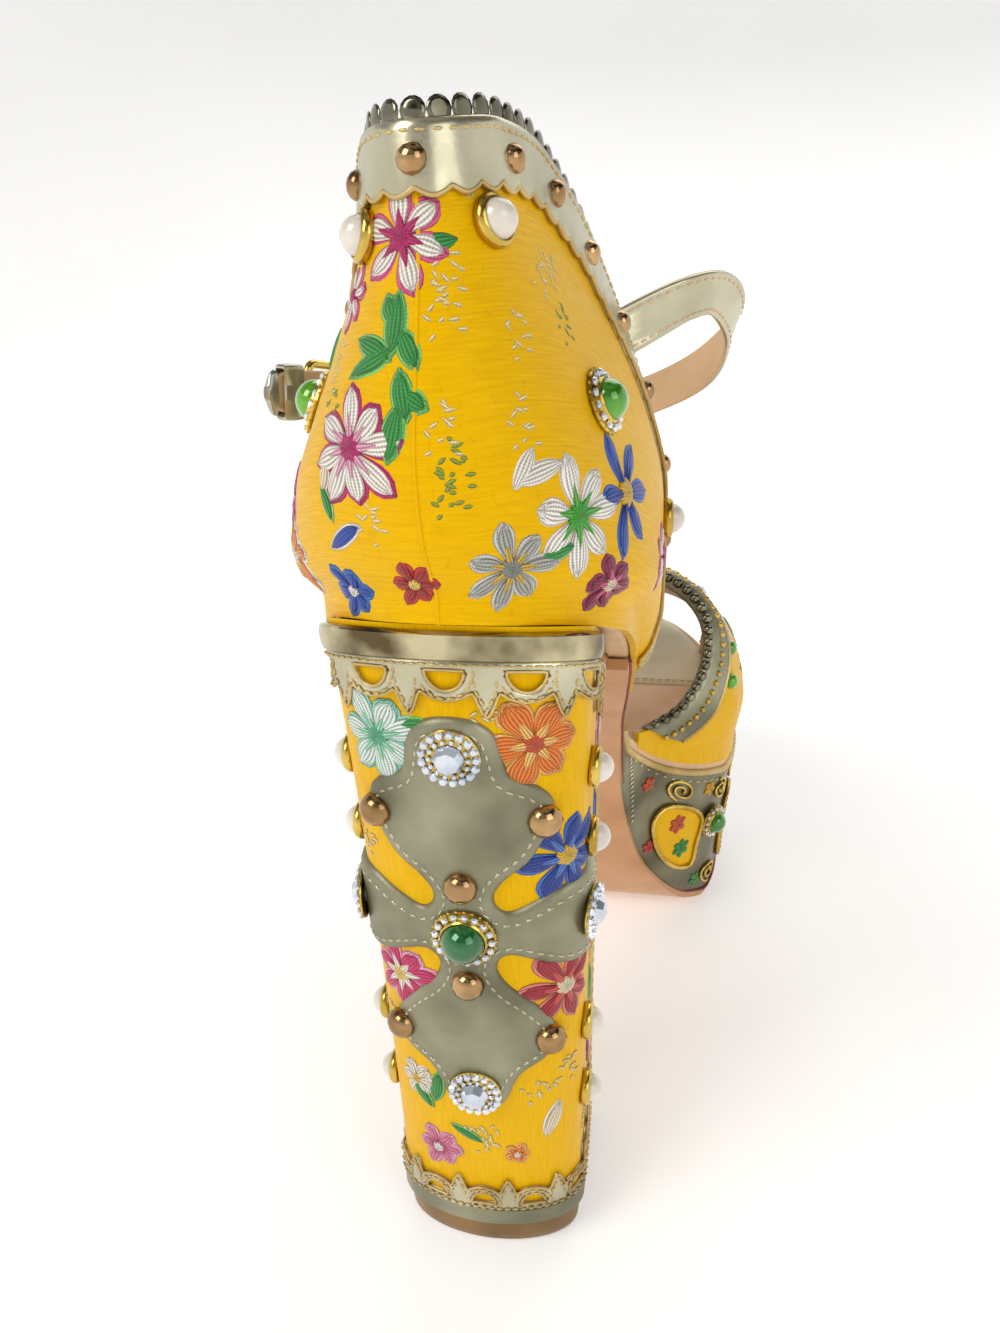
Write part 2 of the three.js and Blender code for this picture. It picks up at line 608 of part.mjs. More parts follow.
const pearlStone = () => setStone(pearlRadius, pearlRadius + 1, 1.45 * pearlRadius);
const cabochonStone = (radius) => setStone(radius, radius + 1.8, radius);
const clusterStone = () => setStone(0.55 * clusterRadius, clusterRadius, 0.6 * clusterRadius);
const studStone = () => setStone(studRadius, studRadius + 0.1, 0.9 * studRadius);
const skinOut = 2 * fit + bandThickness;

// Stones on the heel, their places in seat heights and in shares of the way round
const sidePearls = [0.753, 0.655, 0.36, 0.24];
for (const [word, side] of [["inner", 1], ["outer", -1]]) {
  sidePearls.forEach((height, i) => {
    onHeel(`pearl_${word}_${i + 1}`, pearlStone(), pearl, side * 0.66, height * seatHeight, fit);
  });
  const clusterU = side * 0.61;
  onHeel(`cluster_${word}`, clusterStone(), crystal, clusterU, appliqueCentre, skinOut);
  onHeel(`stud_upper_${word}`, studStone(), gold, side * 0.3, appliqueCentre + 0.275 * appliqueHeight, skinOut);
  onHeel(`stud_lower_${word}`, studStone(), gold, side * 0.32, appliqueCentre - 0.285 * appliqueHeight, skinOut);
}
onHeel("cluster_top", clusterStone(), crystal, 0, appliqueCentre + 0.425 * appliqueHeight, skinOut);
onHeel("cluster_foot", clusterStone(), crystal, 0, appliqueCentre - 0.43 * appliqueHeight, skinOut);
onHeel("stud_above_stone", studStone(), gold, 0, appliqueCentre + 0.125 * appliqueHeight, skinOut);
onHeel("stud_below_stone", studStone(), gold, 0, appliqueCentre - 0.125 * appliqueHeight, skinOut);
onHeel("cabochon_heel", cabochonStone(cabochonRadius), green, 0, appliqueCentre, skinOut);

// Stones on the counter, their places along it and above the sole in counter heights, and one on the platform's side
for (const [word, side] of [["inner", 1], ["outer", -1]]) {
  const pearlHeight = toplineAt(side * 0.28) - (bandWidth + pearlRadius + 3) / counterHeight;
  onCounter(`pearl_counter_${word}`, pearlStone(), pearl, side * 0.28, pearlHeight, 0.5);
  onCounter(`cabochon_counter_${word}`, cabochonStone(smallCabochonRadius), green, side * 0.56, 0.52, 0.5);
  onCounter(`pearl_edge_${word}`, pearlStone(), pearl, side * 0.85, 0.36, 0.5);
  const stoneY = soleBack + 0.63 * soleLength;
  const sideAt = (y, high) => {
    const x = soleEdge(side, y) - side * (1 - high) * taper(y);
    return new THREE.Vector3(x, y, lerp(soleUnder(y), boardUnder(y), high));
  };
  const across = sideAt(stoneY + 1, 0.6).sub(sideAt(stoneY - 1, 0.6));
  const outward = across.cross(sideAt(stoneY, 0.7).sub(sideAt(stoneY, 0.5))).normalize().multiplyScalar(side);
  const seat = sideAt(stoneY, 0.6).addScaledVector(outward, 2 * fit);
  place(`cabochon_platform_${word}`, cabochonStone(smallCabochonRadius), green, seat, outward);
}

// Straps: a flat ribbon through frames, each a point and the way its upper edge lies
const skyward = new THREE.Vector3(0, 0, 1);
function routeFrames(rows) {
  const points = rows.map(
    (row) =>
      new THREE.Vector3(
        row.side * seatWidth,
        soleBack + row.ahead * counterLength,
        seatHeight + row.up * counterHeight
      )
  );
  return points.map((point, i) => {
    const along = points[Math.min(i + 1, points.length - 1)].clone().sub(points[Math.max(i - 1, 0)]).normalize();
    const side = new THREE.Vector3().crossVectors(along, skyward).normalize();
    const lean = THREE.MathUtils.degToRad(rows[i].lean);
    return { point, up: side.multiplyScalar(Math.sin(lean)).addScaledVector(skyward, Math.cos(lean)) };
  });
}
// The frames where a strap is stitched inside the counter's wall and leaves it over the top edge
function rootFrames(side) {
  const inside = -counterWall - 2 * fit - strapThickness / 2;
  return strapRoot.map((row) => {
    const at = (height) => counterOut(side * Math.sqrt(row.along), height, inside);
    const height = row[side > 0 ? "inner" : "outer"];
    return { point: at(height), up: at(height + 0.04).sub(at(height - 0.04)).normalize() };
  });
}
// The frame of a strap at a share of its route: the point, the way along, up across its width, and out of its face
function strapFrameAt(frames, t) {
  const curve = new THREE.CatmullRomCurve3(frames.map((f) => f.point), false, "centripetal");
  const place = Math.min(t, 0.9999) * (frames.length - 1);
  const k = Math.floor(place);
  const along = curve.getTangent(t);
  const up = frames[k].up.clone().lerp(frames[k + 1].up, place - k);
  up.addScaledVector(along, -up.dot(along)).normalize();
  return { point: curve.getPoint(t), along, up, out: new THREE.Vector3().crossVectors(along, up).normalize() };
}
function ribbon(frames, width, thickness, count) {
  const outer = [];
  const inner = [];
  for (const t of steps(count)) {
    const { point, up, out } = strapFrameAt(frames, t);
    const edge = (across, depth) =>
      point.clone().addScaledVector(up, (across * width) / 2).addScaledVector(out, (depth * thickness) / 2);
    outer.push([edge(-1, 1), edge(1, 1)]);
    inner.push([edge(-1, -1), edge(1, -1)]);
  }
  return plate(outer, inner);
}
const strapFrames = [...rootFrames(1), ...routeFrames(strapRoute)];
add("ankle_strap", ribbon(strapFrames, strapWidth, strapThickness, 64), leather);
const buckleFrames = [...rootFrames(-1), ...routeFrames(buckleStrapRoute)];
add("buckle_strap", ribbon(buckleFrames, strapWidth, strapThickness, 20), leather);

// A loop with a rectangular hole, drawn in the plane across a strap or on its face
function rectangleLoop(width, height, wire, depth) {
  const half = { x: width / 2 + wire, y: height / 2 + wire };
  const shape = new THREE.Shape();
  const corner = wire * 0.9;
  shape.moveTo(-half.x + corner, -half.y);
  shape.lineTo(half.x - corner, -half.y);
  shape.absarc(half.x - corner, -half.y + corner, corner, -Math.PI / 2, 0);
  shape.lineTo(half.x, half.y - corner);
  shape.absarc(half.x - corner, half.y - corner, corner, 0, Math.PI / 2);
  shape.lineTo(-half.x + corner, half.y);
  shape.absarc(-half.x + corner, half.y - corner, corner, Math.PI / 2, Math.PI);
  shape.lineTo(-half.x, -half.y + corner);
  shape.absarc(-half.x + corner, -half.y + corner, corner, Math.PI, 1.5 * Math.PI);
  const hole = new THREE.Path();
  hole.moveTo(-width / 2, -height / 2);
  hole.lineTo(-width / 2, height / 2);
  hole.lineTo(width / 2, height / 2);
  hole.lineTo(width / 2, -height / 2);
  hole.closePath();
  shape.holes.push(hole);
  const loop = new THREE.ExtrudeGeometry(shape, { depth, bevelEnabled: false, curveSegments: 3 });
  return loop.translate(0, 0, -depth / 2);
}
function placeOnStrap(name, geometry, material, frame, axes, out) {
  const mesh = add(name, geometry, material);
  const basis = new THREE.Matrix4().makeBasis(frame[axes[0]], frame[axes[1]], frame[axes[2]]);
  mesh.quaternion.setFromRotationMatrix(basis);
  mesh.position.copy(frame.point).addScaledVector(frame.out, out);
}
const onFace = strapThickness / 2 + 2 * fit + buckleWire / 2;
const buckleFrame = strapFrameAt(strapFrames, buckleShare);
const buckleLoop = rectangleLoop(buckleLength, strapWidth + 1, buckleWire, buckleWire);
placeOnStrap("buckle", buckleLoop, gold, buckleFrame, ["along", "up", "out"], onFace);
const prongRadius = buckleWire / 3;
const prong = new THREE.CylinderGeometry(prongRadius, prongRadius, buckleLength - 2 * fit, 8);
prong.rotateZ(Math.PI / 2);
placeOnStrap("buckle_prong", prong, gold, buckleFrame, ["along", "up", "out"], onFace);
const keeperFrame = strapFrameAt(strapFrames, keeperShare);
const keeperLoop = rectangleLoop(strapThickness + 2 * fit, strapWidth + 2 * fit, keeperWall, keeperLength);
keeperFrame.back = keeperFrame.along.clone().negate();
placeOnStrap("keeper", keeperLoop, leather, keeperFrame, ["out", "up", "back"], 0);

export default group;
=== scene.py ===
"""Looks of a woman's left platform sandal with a covered block heel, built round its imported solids."""

from __future__ import annotations

import logging
import math
from dataclasses import dataclass, field
from enum import Enum
from typing import Callable, Iterable, Sequence

import bpy
import numpy as np
from mathutils import Matrix, Vector
from mathutils.geometry import delaunay_2d_cdt


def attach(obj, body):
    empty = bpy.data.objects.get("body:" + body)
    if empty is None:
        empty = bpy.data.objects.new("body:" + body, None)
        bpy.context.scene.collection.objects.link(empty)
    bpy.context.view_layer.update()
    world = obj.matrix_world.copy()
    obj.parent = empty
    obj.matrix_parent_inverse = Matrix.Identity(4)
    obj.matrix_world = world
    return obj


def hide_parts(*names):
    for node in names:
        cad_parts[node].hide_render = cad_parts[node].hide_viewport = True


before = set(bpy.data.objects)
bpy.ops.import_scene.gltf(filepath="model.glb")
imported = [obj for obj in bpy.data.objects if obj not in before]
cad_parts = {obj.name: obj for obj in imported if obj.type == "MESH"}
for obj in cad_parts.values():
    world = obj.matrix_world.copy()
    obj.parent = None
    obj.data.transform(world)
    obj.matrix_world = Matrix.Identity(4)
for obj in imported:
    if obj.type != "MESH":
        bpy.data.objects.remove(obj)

LOG = logging.getLogger("sandal")
MM = 0.001
UP = np.array([0, 0, 1.0])
Surface = Callable[[np.ndarray, np.ndarray], np.ndarray]
Colour = tuple[float, float, float]
LEAF = ("7ccf6a", "2f9a3e")
STRAW, MOSS = "f0dc96", "8fa22c"


def shade(code: str) -> Colour:
    """Turn a display colour into linear light.

    Args:
        code: six hexadecimal digits.

    Returns:
        Red, green and blue from 0 to 1.
    """
    values = [int(code[i:i + 2], 16) / 255 for i in (0, 2, 4)]
    return tuple(v / 12.92 if v <= 0.04045 else ((v + 0.055) / 1.055) ** 2.4 for v in values)


def lerp(a, b, t):
    """Blend from a to b."""
    return a + (b - a) * t


def smooth(t: np.ndarray) -> np.ndarray:
    """Ease a share at both ends."""
    t = np.clip(t, 0, 1)
    return t * t * (3 - 2 * t)


def points(x, y, z) -> np.ndarray:
    """Stack three coordinates into points."""
    return np.stack(np.broadcast_arrays(x, y, z), axis=-1).astype(float)


def unit(v: np.ndarray) -> np.ndarray:
    """Scale vectors to length one."""
    return v / np.maximum(np.linalg.norm(v, axis=-1, keepdims=True), 1e-9)


class Table:
    """Rows of named columns, read smoothly by the first one with no overshoot."""

    def __init__(self, columns: str, rows: Sequence[Sequence[float]]) -> None:
        """Keep the rows.

        Args:
            columns: the columns' names, in order.
            rows: a value for each column.
        """
        self.columns = columns.split()
        self.rows = np.array(rows, float)

    def __call__(self, column: str, at: np.ndarray) -> np.ndarray:
        """Read a column.

        Args:
            column: its name.
            at: places in the first column.

        Returns:
            The values there.
        """
        x, y = self.rows[:, 0], self.rows[:, self.columns.index(column)]
        at = np.clip(np.asarray(at, float), x[0], x[-1])
        slope = np.diff(y) / np.diff(x)
        before, after = slope[:-1], slope[1:]
        rising = before * after > 0
        inner = np.where(rising, 2 * before * after / np.where(rising, before + after, 1.0), 0.0)
        tangent = np.concatenate([slope[:1], inner, slope[-1:]])
        i = np.clip(np.searchsorted(x, at, side="left") - 1, 0, len(x) - 2)
        span = x[i + 1] - x[i]
        t = (at - x[i]) / span
        fall = (1 - t) ** 2
        start = fall * ((1 + 2 * t) * y[i] + t * span * tangent[i])
        return start + t * t * ((3 - 2 * t) * y[i + 1] - (1 - t) * span * tangent[i + 1])


def back_round(s: np.ndarray, reach: np.ndarray, power: np.ndarray) -> np.ndarray:
    """Give the share of the full width at a distance from a rounded back."""
    return (1 - (1 - np.clip(s / reach, 0, 1)) ** 1.6) ** power


def raised(surface: Surface, u, v, out, du: float = 0.002, dv: float = 0.004) -> np.ndarray:
    """Move points of a surface out along its normal.

    Args:
        surface: the surface in two numbers.
        u: the first number.
        v: the second number.
        out: how far to move, in mm.
        du: step for the slope in u.
        dv: step for the slope in v.

    Returns:
        The moved points.
    """
    u, v, out = np.broadcast_arrays(np.asarray(u, float), np.asarray(v, float), np.asarray(out, float))
    along = surface(u + du, v) - surface(u - du, v)
    up = surface(u, v + dv) - surface(u, v - dv)
    return surface(u, v) + unit(np.cross(along, up)) * out[..., None]


@dataclass
class Seat:
    """A place on a surface: its point, the way along it, up it and out of it."""

    point: np.ndarray
    along: np.ndarray
    up: np.ndarray
    out: np.ndarray

    @classmethod
    def on(cls, surface: Surface, u: float, v: float, out: float = 0.0, dv: float = 0.004) -> "Seat":
        """Find the seat at a place of a surface, lifted by a height."""
        along = unit(surface(u + 0.002, v) - surface(u - 0.002, v))
        rise = surface(u, v + dv) - surface(u, v - dv)
        normal = unit(np.cross(along, rise))
        return cls(surface(u, v) + normal * out, along, np.cross(normal, along), normal)

    @classmethod
    def level(cls, point: np.ndarray) -> "Seat":
        """Give a level seat that faces up."""
        return cls(point, np.array([1.0, 0, 0]), np.array([0, 1.0, 0]), UP)

    def put(self, local: np.ndarray) -> np.ndarray:
        """Move local points, x along, y up and z out, to this seat."""
        return self.point + local @ np.stack([self.along, self.up, self.out])

    def turned(self, degrees: float) -> "Seat":
        """Turn the seat about its outward way."""
        a = math.radians(degrees)
        along = self.along * math.cos(a) + self.up * math.sin(a)
        return Seat(self.point, along, np.cross(self.out, along), self.out)


class Build:
    """Gathers points and faces, in mm, into one piece."""

    def __init__(self) -> None:
        """Start empty."""
        self.points: list[np.ndarray] = []
        self.faces: list[tuple[int, ...]] = []
        self.uvs: list[tuple[float, float]] = []
        self.tints: list[np.ndarray] = []
        self.slots: list[int] = []
        self.count = 0

    def add(self, cloud: np.ndarray, faces: Iterable[Sequence[int]], corner_uv: np.ndarray,
            tint: Colour = (1, 1, 1), slot: int = 0) -> None:
        """Add a closed part, its faces turned outwards by its volume.

        Args:
            cloud: its points.
            faces: point numbers round each face.
            corner_uv: a pair of mm for each corner of each face.
            tint: its colour.
            slot: its material's number.
        """
        faces = [tuple(int(i) for i in f) for f in faces]
        uv = [tuple(c) for c in np.asarray(corner_uv, float).reshape(-1, 2)]
        volume = 0.0
        for f in faces:
            for a, b in zip(f[1:-1], f[2:]):
                volume += float(np.dot(cloud[f[0]], np.cross(cloud[a], cloud[b])))
        if volume < 0:
            turned, at = [], 0
            for f in faces:
                turned += uv[at:at + len(f)][::-1]
                at += len(f)
            uv = turned
            faces = [f[::-1] for f in faces]
        self.uvs += uv
        self.points.append(cloud)
        self.tints.append(np.tile(np.array([*tint, 1.0]), (len(cloud), 1)))
        self.faces += [tuple(i + self.count for i in f) for f in faces]
        self.slots += [slot] * len(faces)
        self.count += len(cloud)

    def grid(self, cloud: np.ndarray, tint: Colour = (1, 1, 1), slot: int = 0) -> None:
        """Add rings of points, each closed on itself, with both ends filled.

        Args:
            cloud: the points by ring.
            tint: its colour.
            slot: its material's number.
        """
        faces, uv = grid_faces(cloud, True)
        rows, cols = cloud.shape[:2]
        flat = np.concatenate([cloud.reshape(-1, 3), cloud[0].mean(0)[None], cloud[-1].mean(0)[None]])
        for j in range(cols):
            k = (j + 1) % cols
            faces.append((rows * cols, k, j))
            faces.append((rows * cols + 1, (rows - 1) * cols + j, (rows - 1) * cols + k))
            uv += [(0, 0)] * 6
        self.add(flat, faces, np.array(uv), tint, slot)

    def cord(self, *section, **more) -> None:
        """Add a tube with closed ends, from what tube takes."""
        self.grid(tube(*section, **more))

    def shell(self, outer: np.ndarray, inner: np.ndarray, tint: Colour = (1, 1, 1), slot: int = 0) -> None:
        """Add a closed sheet between two grids of the same size.

        Args:
            outer: one face's points.
            inner: the other face's points.
            tint: its colour.
            slot: its material's number.
        """
        rows, cols = outer.shape[:2]
        faces, uv = grid_faces(outer, False)
        shift = rows * cols
        back = [tuple(i + shift for i in f[::-1]) for f in faces]
        back_uv = [uv[4 * k + 3 - c] for k in range(len(faces)) for c in range(4)]
        rim: list[tuple[int, ...]] = []
        at = lambda i, j: i * cols + j
        end, last = rows - 1, cols - 1
        for i in range(end):
            rim.append((at(i, 0), at(i, 0) + shift, at(i + 1, 0) + shift, at(i + 1, 0)))
            rim.append((at(i + 1, last), at(i + 1, last) + shift, at(i, last) + shift, at(i, last)))
        for j in range(last):
            rim.append((at(0, j + 1), at(0, j + 1) + shift, at(0, j) + shift, at(0, j)))
            rim.append((at(end, j), at(end, j) + shift, at(end, j + 1) + shift, at(end, j + 1)))
        rim_uv = []
        for f in rim:
            rim_uv += [uv_of(outer, f[0] % shift, uv, faces)] * 4
        cloud = np.concatenate([outer.reshape(-1, 3), inner.reshape(-1, 3)])
        self.add(cloud, faces + back + rim, np.array(uv + back_uv + rim_uv), tint, slot)

    def finish(self, name: str, materials: Sequence[bpy.types.Material],
               angle: float = 42.0) -> bpy.types.Object:
        """Make the Blender object.

        Args:
            name: its name.
            materials: its materials, in slot order.
            angle: faces that meet at more than this, in degrees, keep a sharp edge.

        Returns:
            The object, in metres.
        """
        mesh = bpy.data.meshes.new(name)
        mesh.from_pydata((np.concatenate(self.points) * MM).tolist(), [], self.faces)
        mesh.uv_layers.new(name="cloth").data.foreach_set("uv", np.array(self.uvs, np.float32).ravel())
        tint = mesh.color_attributes.new("tint", "FLOAT_COLOR", "POINT")
        tint.data.foreach_set("color", np.concatenate(self.tints).astype(np.float32).ravel())
        for material in materials:
            mesh.materials.append(material)
        mesh.polygons.foreach_set("material_index", np.array(self.slots, np.int32))
        mesh.polygons.foreach_set("use_smooth", np.ones(len(self.faces), bool))
        mesh.set_sharp_from_angle(angle=math.radians(angle))
        mesh.update()
        thing = bpy.data.objects.new(name, mesh)
        bpy.context.scene.collection.objects.link(thing)
        return thing


def grid_faces(cloud: np.ndarray, wrap: bool) -> tuple[list[tuple[int, ...]], list[tuple[float, float]]]:
    """Number the faces of a grid and measure it in mm.

    Args:
        cloud: points by row and column.
        wrap: whether the columns close on themselves.

    Returns:
        The faces, and a pair of mm for each of their corners.
    """
    rows, cols = cloud.shape[:2]
    whole = np.concatenate([cloud, cloud[:, :1]], 1) if wrap else cloud
    across = np.r_[0, np.cumsum(np.linalg.norm(np.diff(whole, axis=1), axis=2).mean(0))]
    along = np.r_[0, np.cumsum(np.linalg.norm(np.diff(whole, axis=0), axis=2).mean(1))]
    faces, uv = [], []
    for i in range(rows - 1):
        for j in range(cols if wrap else cols - 1):
            k = (j + 1) % cols
            faces.append((i * cols + j, (i + 1) * cols + j, (i + 1) * cols + k, i * cols + k))
            uv += [(along[i], across[j]), (along[i + 1], across[j]),
                   (along[i + 1], across[j + 1]), (along[i], across[j + 1])]
    return faces, uv


def uv_of(cloud: np.ndarray, index: int, uv: list, faces: list) -> tuple[float, float]:
    """Give a rim corner the measure of a face near it."""
    rows, cols = cloud.shape[:2]
    i, j = min(index // cols, rows - 2), min(index % cols, cols - 2)
    return uv[4 * (i * (len(faces) // (rows - 1)) + j)]


def path_frames(path: np.ndarray, up: np.ndarray) -> tuple[np.ndarray, np.ndarray, np.ndarray]:
    """Give the way along a path, up it and across it at each point."""
    along = unit(np.gradient(path, axis=0))
    up = np.broadcast_to(up, path.shape)
    across = unit(np.cross(along, up))
    return along, np.cross(across, along), across


def run_of(path: np.ndarray) -> np.ndarray:
    """Give the length along a path at each of its points."""
    return np.r_[0, np.cumsum(np.linalg.norm(np.diff(path, axis=0), axis=1))]


def tube(path: np.ndarray, radius: float, up: np.ndarray, sides: int = 8, rope: float = 0.0,
         twist: float = 1.0) -> np.ndarray:
    """Sweep a round or twisted section along a path.

    Args:
        path: the middle points.
        radius: the section's radius in mm.
        up: a way that the section's top faces.
        sides: points round the section.
        rope: how deep the groove between two strands is, as a share of the radius.
        twist: length of one turn in mm.

    Returns:
        A grid of rings.
    """
    along, top, across = path_frames(path, up)
    run = run_of(path)
    angle = np.linspace(0, 2 * np.pi, sides, endpoint=False)[None]
    swell = 1 - rope + rope * np.abs(np.cos(angle + np.pi * run[:, None] / twist))
    x = (radius * swell * np.cos(angle))[..., None] * across[:, None]
    y = (radius * swell * np.sin(angle))[..., None] * top[:, None]
    return path[:, None] + x + y


def even_path(path: np.ndarray, step: float) -> np.ndarray:
    """Space the points of a path evenly."""
    run = run_of(path)
    at = np.linspace(0, run[-1], max(2, int(round(run[-1] / step)) + 1))
    return np.stack([np.interp(at, run, path[:, k]) for k in range(path.shape[1])], axis=1)


def round_outline(rows: Sequence[Sequence[float]], count: int) -> np.ndarray:
    """Draw a smooth closed curve through points on a plane.

    Args:
        rows: the points.
        count: points to draw between two of them.

    Returns:
        The curve's points.
    """
    p = np.array(rows, float)
    out = []
    for i in range(len(p)):
        a, b, c, d = (p[(i + k) % len(p)] for k in (-1, 0, 1, 2))
        bend, twist = 2 * a - 5 * b + 4 * c - d, 3 * b - a - 3 * c + d
        for t in np.arange(count) / count:
            out.append(0.5 * (2 * b + (c - a) * t + bend * t * t + twist * t ** 3))
    return np.array(out)


def inside(cloud: np.ndarray, loop: np.ndarray) -> np.ndarray:
    """Say which points of a plane lie inside a loop."""
    x, y = cloud[:, 0], cloud[:, 1]
    hit = np.zeros(len(cloud), bool)
    for (ax, ay), (bx, by) in zip(loop, np.roll(loop, -1, axis=0)):
        cut = (ay > y) != (by > y)
        hit ^= cut & (x < (bx - ax) * (y - ay) / (by - ay + 1e-12) + ax)
    return hit


def edge_distance(cloud: np.ndarray, loops: Sequence[np.ndarray]) -> np.ndarray:
    """Measure how far points of a plane lie from the nearest loop."""
    best = np.full(len(cloud), 1e9)
    for loop in loops:
        for a, b in zip(loop, np.roll(loop, -1, axis=0)):
            d = b - a
            t = np.clip(((cloud - a) @ d) / max(d @ d, 1e-12), 0, 1)
            best = np.minimum(best, np.linalg.norm(cloud - a - t[:, None] * d, axis=1))
    return best


def moved_in(loop: np.ndarray, depth: float, clear: float) -> np.ndarray:
    """Move a loop's points inwards and leave out those that come back near it.

    Args:
        loop: points round an outline.
        depth: how far they move, outwards where it is negative.
        clear: the least distance that stays from the loop, as a share of the depth.

    Returns:
        The points that are left.
    """
    run = np.roll(loop, -1, axis=0) - np.roll(loop, 1, axis=0)
    normal = unit(np.stack([-run[:, 1], run[:, 0]], axis=1))
    area = np.sum(loop[:, 0] * np.roll(loop[:, 1], -1) - loop[:, 1] * np.roll(loop[:, 0], -1))
    moved = loop + normal * depth * math.copysign(1, area)
    return moved[edge_distance(moved, [loop]) > clear * abs(depth)]


@dataclass
class Patch:
    """A flat shape, in mm, laid on a surface as a sheet with a soft edge."""

    loop: np.ndarray
    holes: list[np.ndarray] = field(default_factory=list)
    thick: float = 1.0
    round_edge: float = 0.8
    step: float = 1.2

    def lay(self, build: Build, place: Callable[[np.ndarray, np.ndarray], np.ndarray],
            tint: Colour = (1, 1, 1), slot: int = 0, base: float = 0.0) -> None:
        """Add the sheet to a build.

        Args:
            build: where it goes.
            place: turns flat points and heights into points of the object.
            tint: its colour.
            slot: its material's number.
            base: height of its underside.
        """
        low, high = self.loop.min(0), self.loop.max(0)
        xs, ys = np.arange(low[0], high[0], self.step), np.arange(low[1], high[1], self.step)
        inner = np.array([(x + (self.step / 2 if j % 2 else 0), y) for j, y in enumerate(ys) for x in xs])
        loops = [self.loop, *self.holes]
        ring = self.inset(0.45 * self.round_edge)
        keep = inside(inner, self.loop) & (edge_distance(inner, loops) > 0.8 * self.round_edge)
        for hole in self.holes:
            keep &= ~inside(inner, hole)
        cloud = np.concatenate([*loops, ring, inner[keep]])
        edges, start = [], 0
        for loop in loops:
            edges += [(start + i, start + (i + 1) % len(loop)) for i in range(len(loop))]
            start += len(loop)
        vertices, _, faces, *_ = delaunay_2d_cdt([Vector(p) for p in cloud], edges, [], 0, 1e-6)
        flat = np.array([(v.x, v.y) for v in vertices])
        faces = [tuple(f) for f in faces if len(f) == 3]
        middle = np.array([flat[list(f)].mean(0) for f in faces])
        good = inside(middle, self.loop)
        for hole in self.holes:
            good &= ~inside(middle, hole)
        faces = [f for f, g in zip(faces, good) if g]
        height = self.thick * np.sqrt(np.clip(edge_distance(flat, loops) / self.round_edge, 0, 1)) + base
        top, under = place(flat, height), place(flat, np.full(len(flat), base - 0.15))
        count: dict[tuple[int, int], int] = {}
        for f in faces:
            for a, b in zip(f, f[1:] + f[:1]):
                count[(a, b)] = 1
        rim = [(a, b) for a, b in count if (b, a) not in count]
        n = len(flat)
        sides = [(b, a, a + n, b + n) for a, b in rim]
        below = [tuple(i + n for i in f[::-1]) for f in faces]
        every = faces + below + sides
        uv = np.concatenate([flat[[i % n for i in f]] for f in every])
        build.add(np.concatenate([top, under]), every, uv, tint, slot)

    def inset(self, depth: float) -> np.ndarray:
        """Give points just inside the outline, for its soft edge."""
        loops = [moved_in(self.loop, depth, 0.7), *[moved_in(hole, -depth, 0.7) for hole in self.holes]]
        return np.concatenate(loops)

    def stitch_line(self, depth: float, step: float) -> np.ndarray:
        """Give evenly spaced points of a line inside the outline."""
        moved = moved_in(self.loop, depth, 0.9)
        return even_path(np.concatenate([moved, moved[:1]]), step)[:-1]


class Graph:
    """Short words for building a node tree."""

    def __init__(self, tree: bpy.types.NodeTree) -> None:
        """Keep the tree."""
        self.tree = tree

    def add(self, kind: str, inputs: dict | None = None, **settings) -> bpy.types.Node:
        """Add a node.

        Args:
            kind: its type.
            inputs: a value or another node's output for each named or numbered socket.
            settings: its properties.

        Returns:
            The node.
        """
        node = self.tree.nodes.new(kind)
        for key, value in settings.items():
            setattr(node, key, value)
        for key, value in (inputs or {}).items():
            if isinstance(value, bpy.types.NodeSocket):
                self.tree.links.new(value, node.inputs[key])
            else:
                node.inputs[key].default_value = value
        return node

    def effect(self, tree: bpy.types.NodeTree, place: bpy.types.NodeSocket, *values: float) -> bpy.types.Node:
        """Add a shared effect, fed by a vector and by its values in order."""
        return self.add("ShaderNodeGroup", {0: place, **dict(enumerate(values, 1))}, node_tree=tree)

    def maths(self, operation: str, a, b=0.0) -> bpy.types.NodeSocket:
        """Do a sum with two values."""
        return self.add("ShaderNodeMath", {0: a, 1: b}, operation=operation).outputs[0]

    def mix(self, factor, a, b, blend: str = "MIX") -> bpy.types.NodeSocket:
        """Blend two colours."""
        node = self.add("ShaderNodeMix", {0: factor, 6: a, 7: b}, data_type="RGBA", blend_type=blend)
        return node.outputs[2]

    def ramp(self, value: bpy.types.NodeSocket, low: float, high: float, to_low: float = 0.0,
             to_high: float = 1.0) -> bpy.types.NodeSocket:
        """Stretch a range of a value to another range, clamped."""
        return self.add("ShaderNodeMapRange", {0: value, 1: low, 2: high, 3: to_low, 4: to_high}).outputs[0]


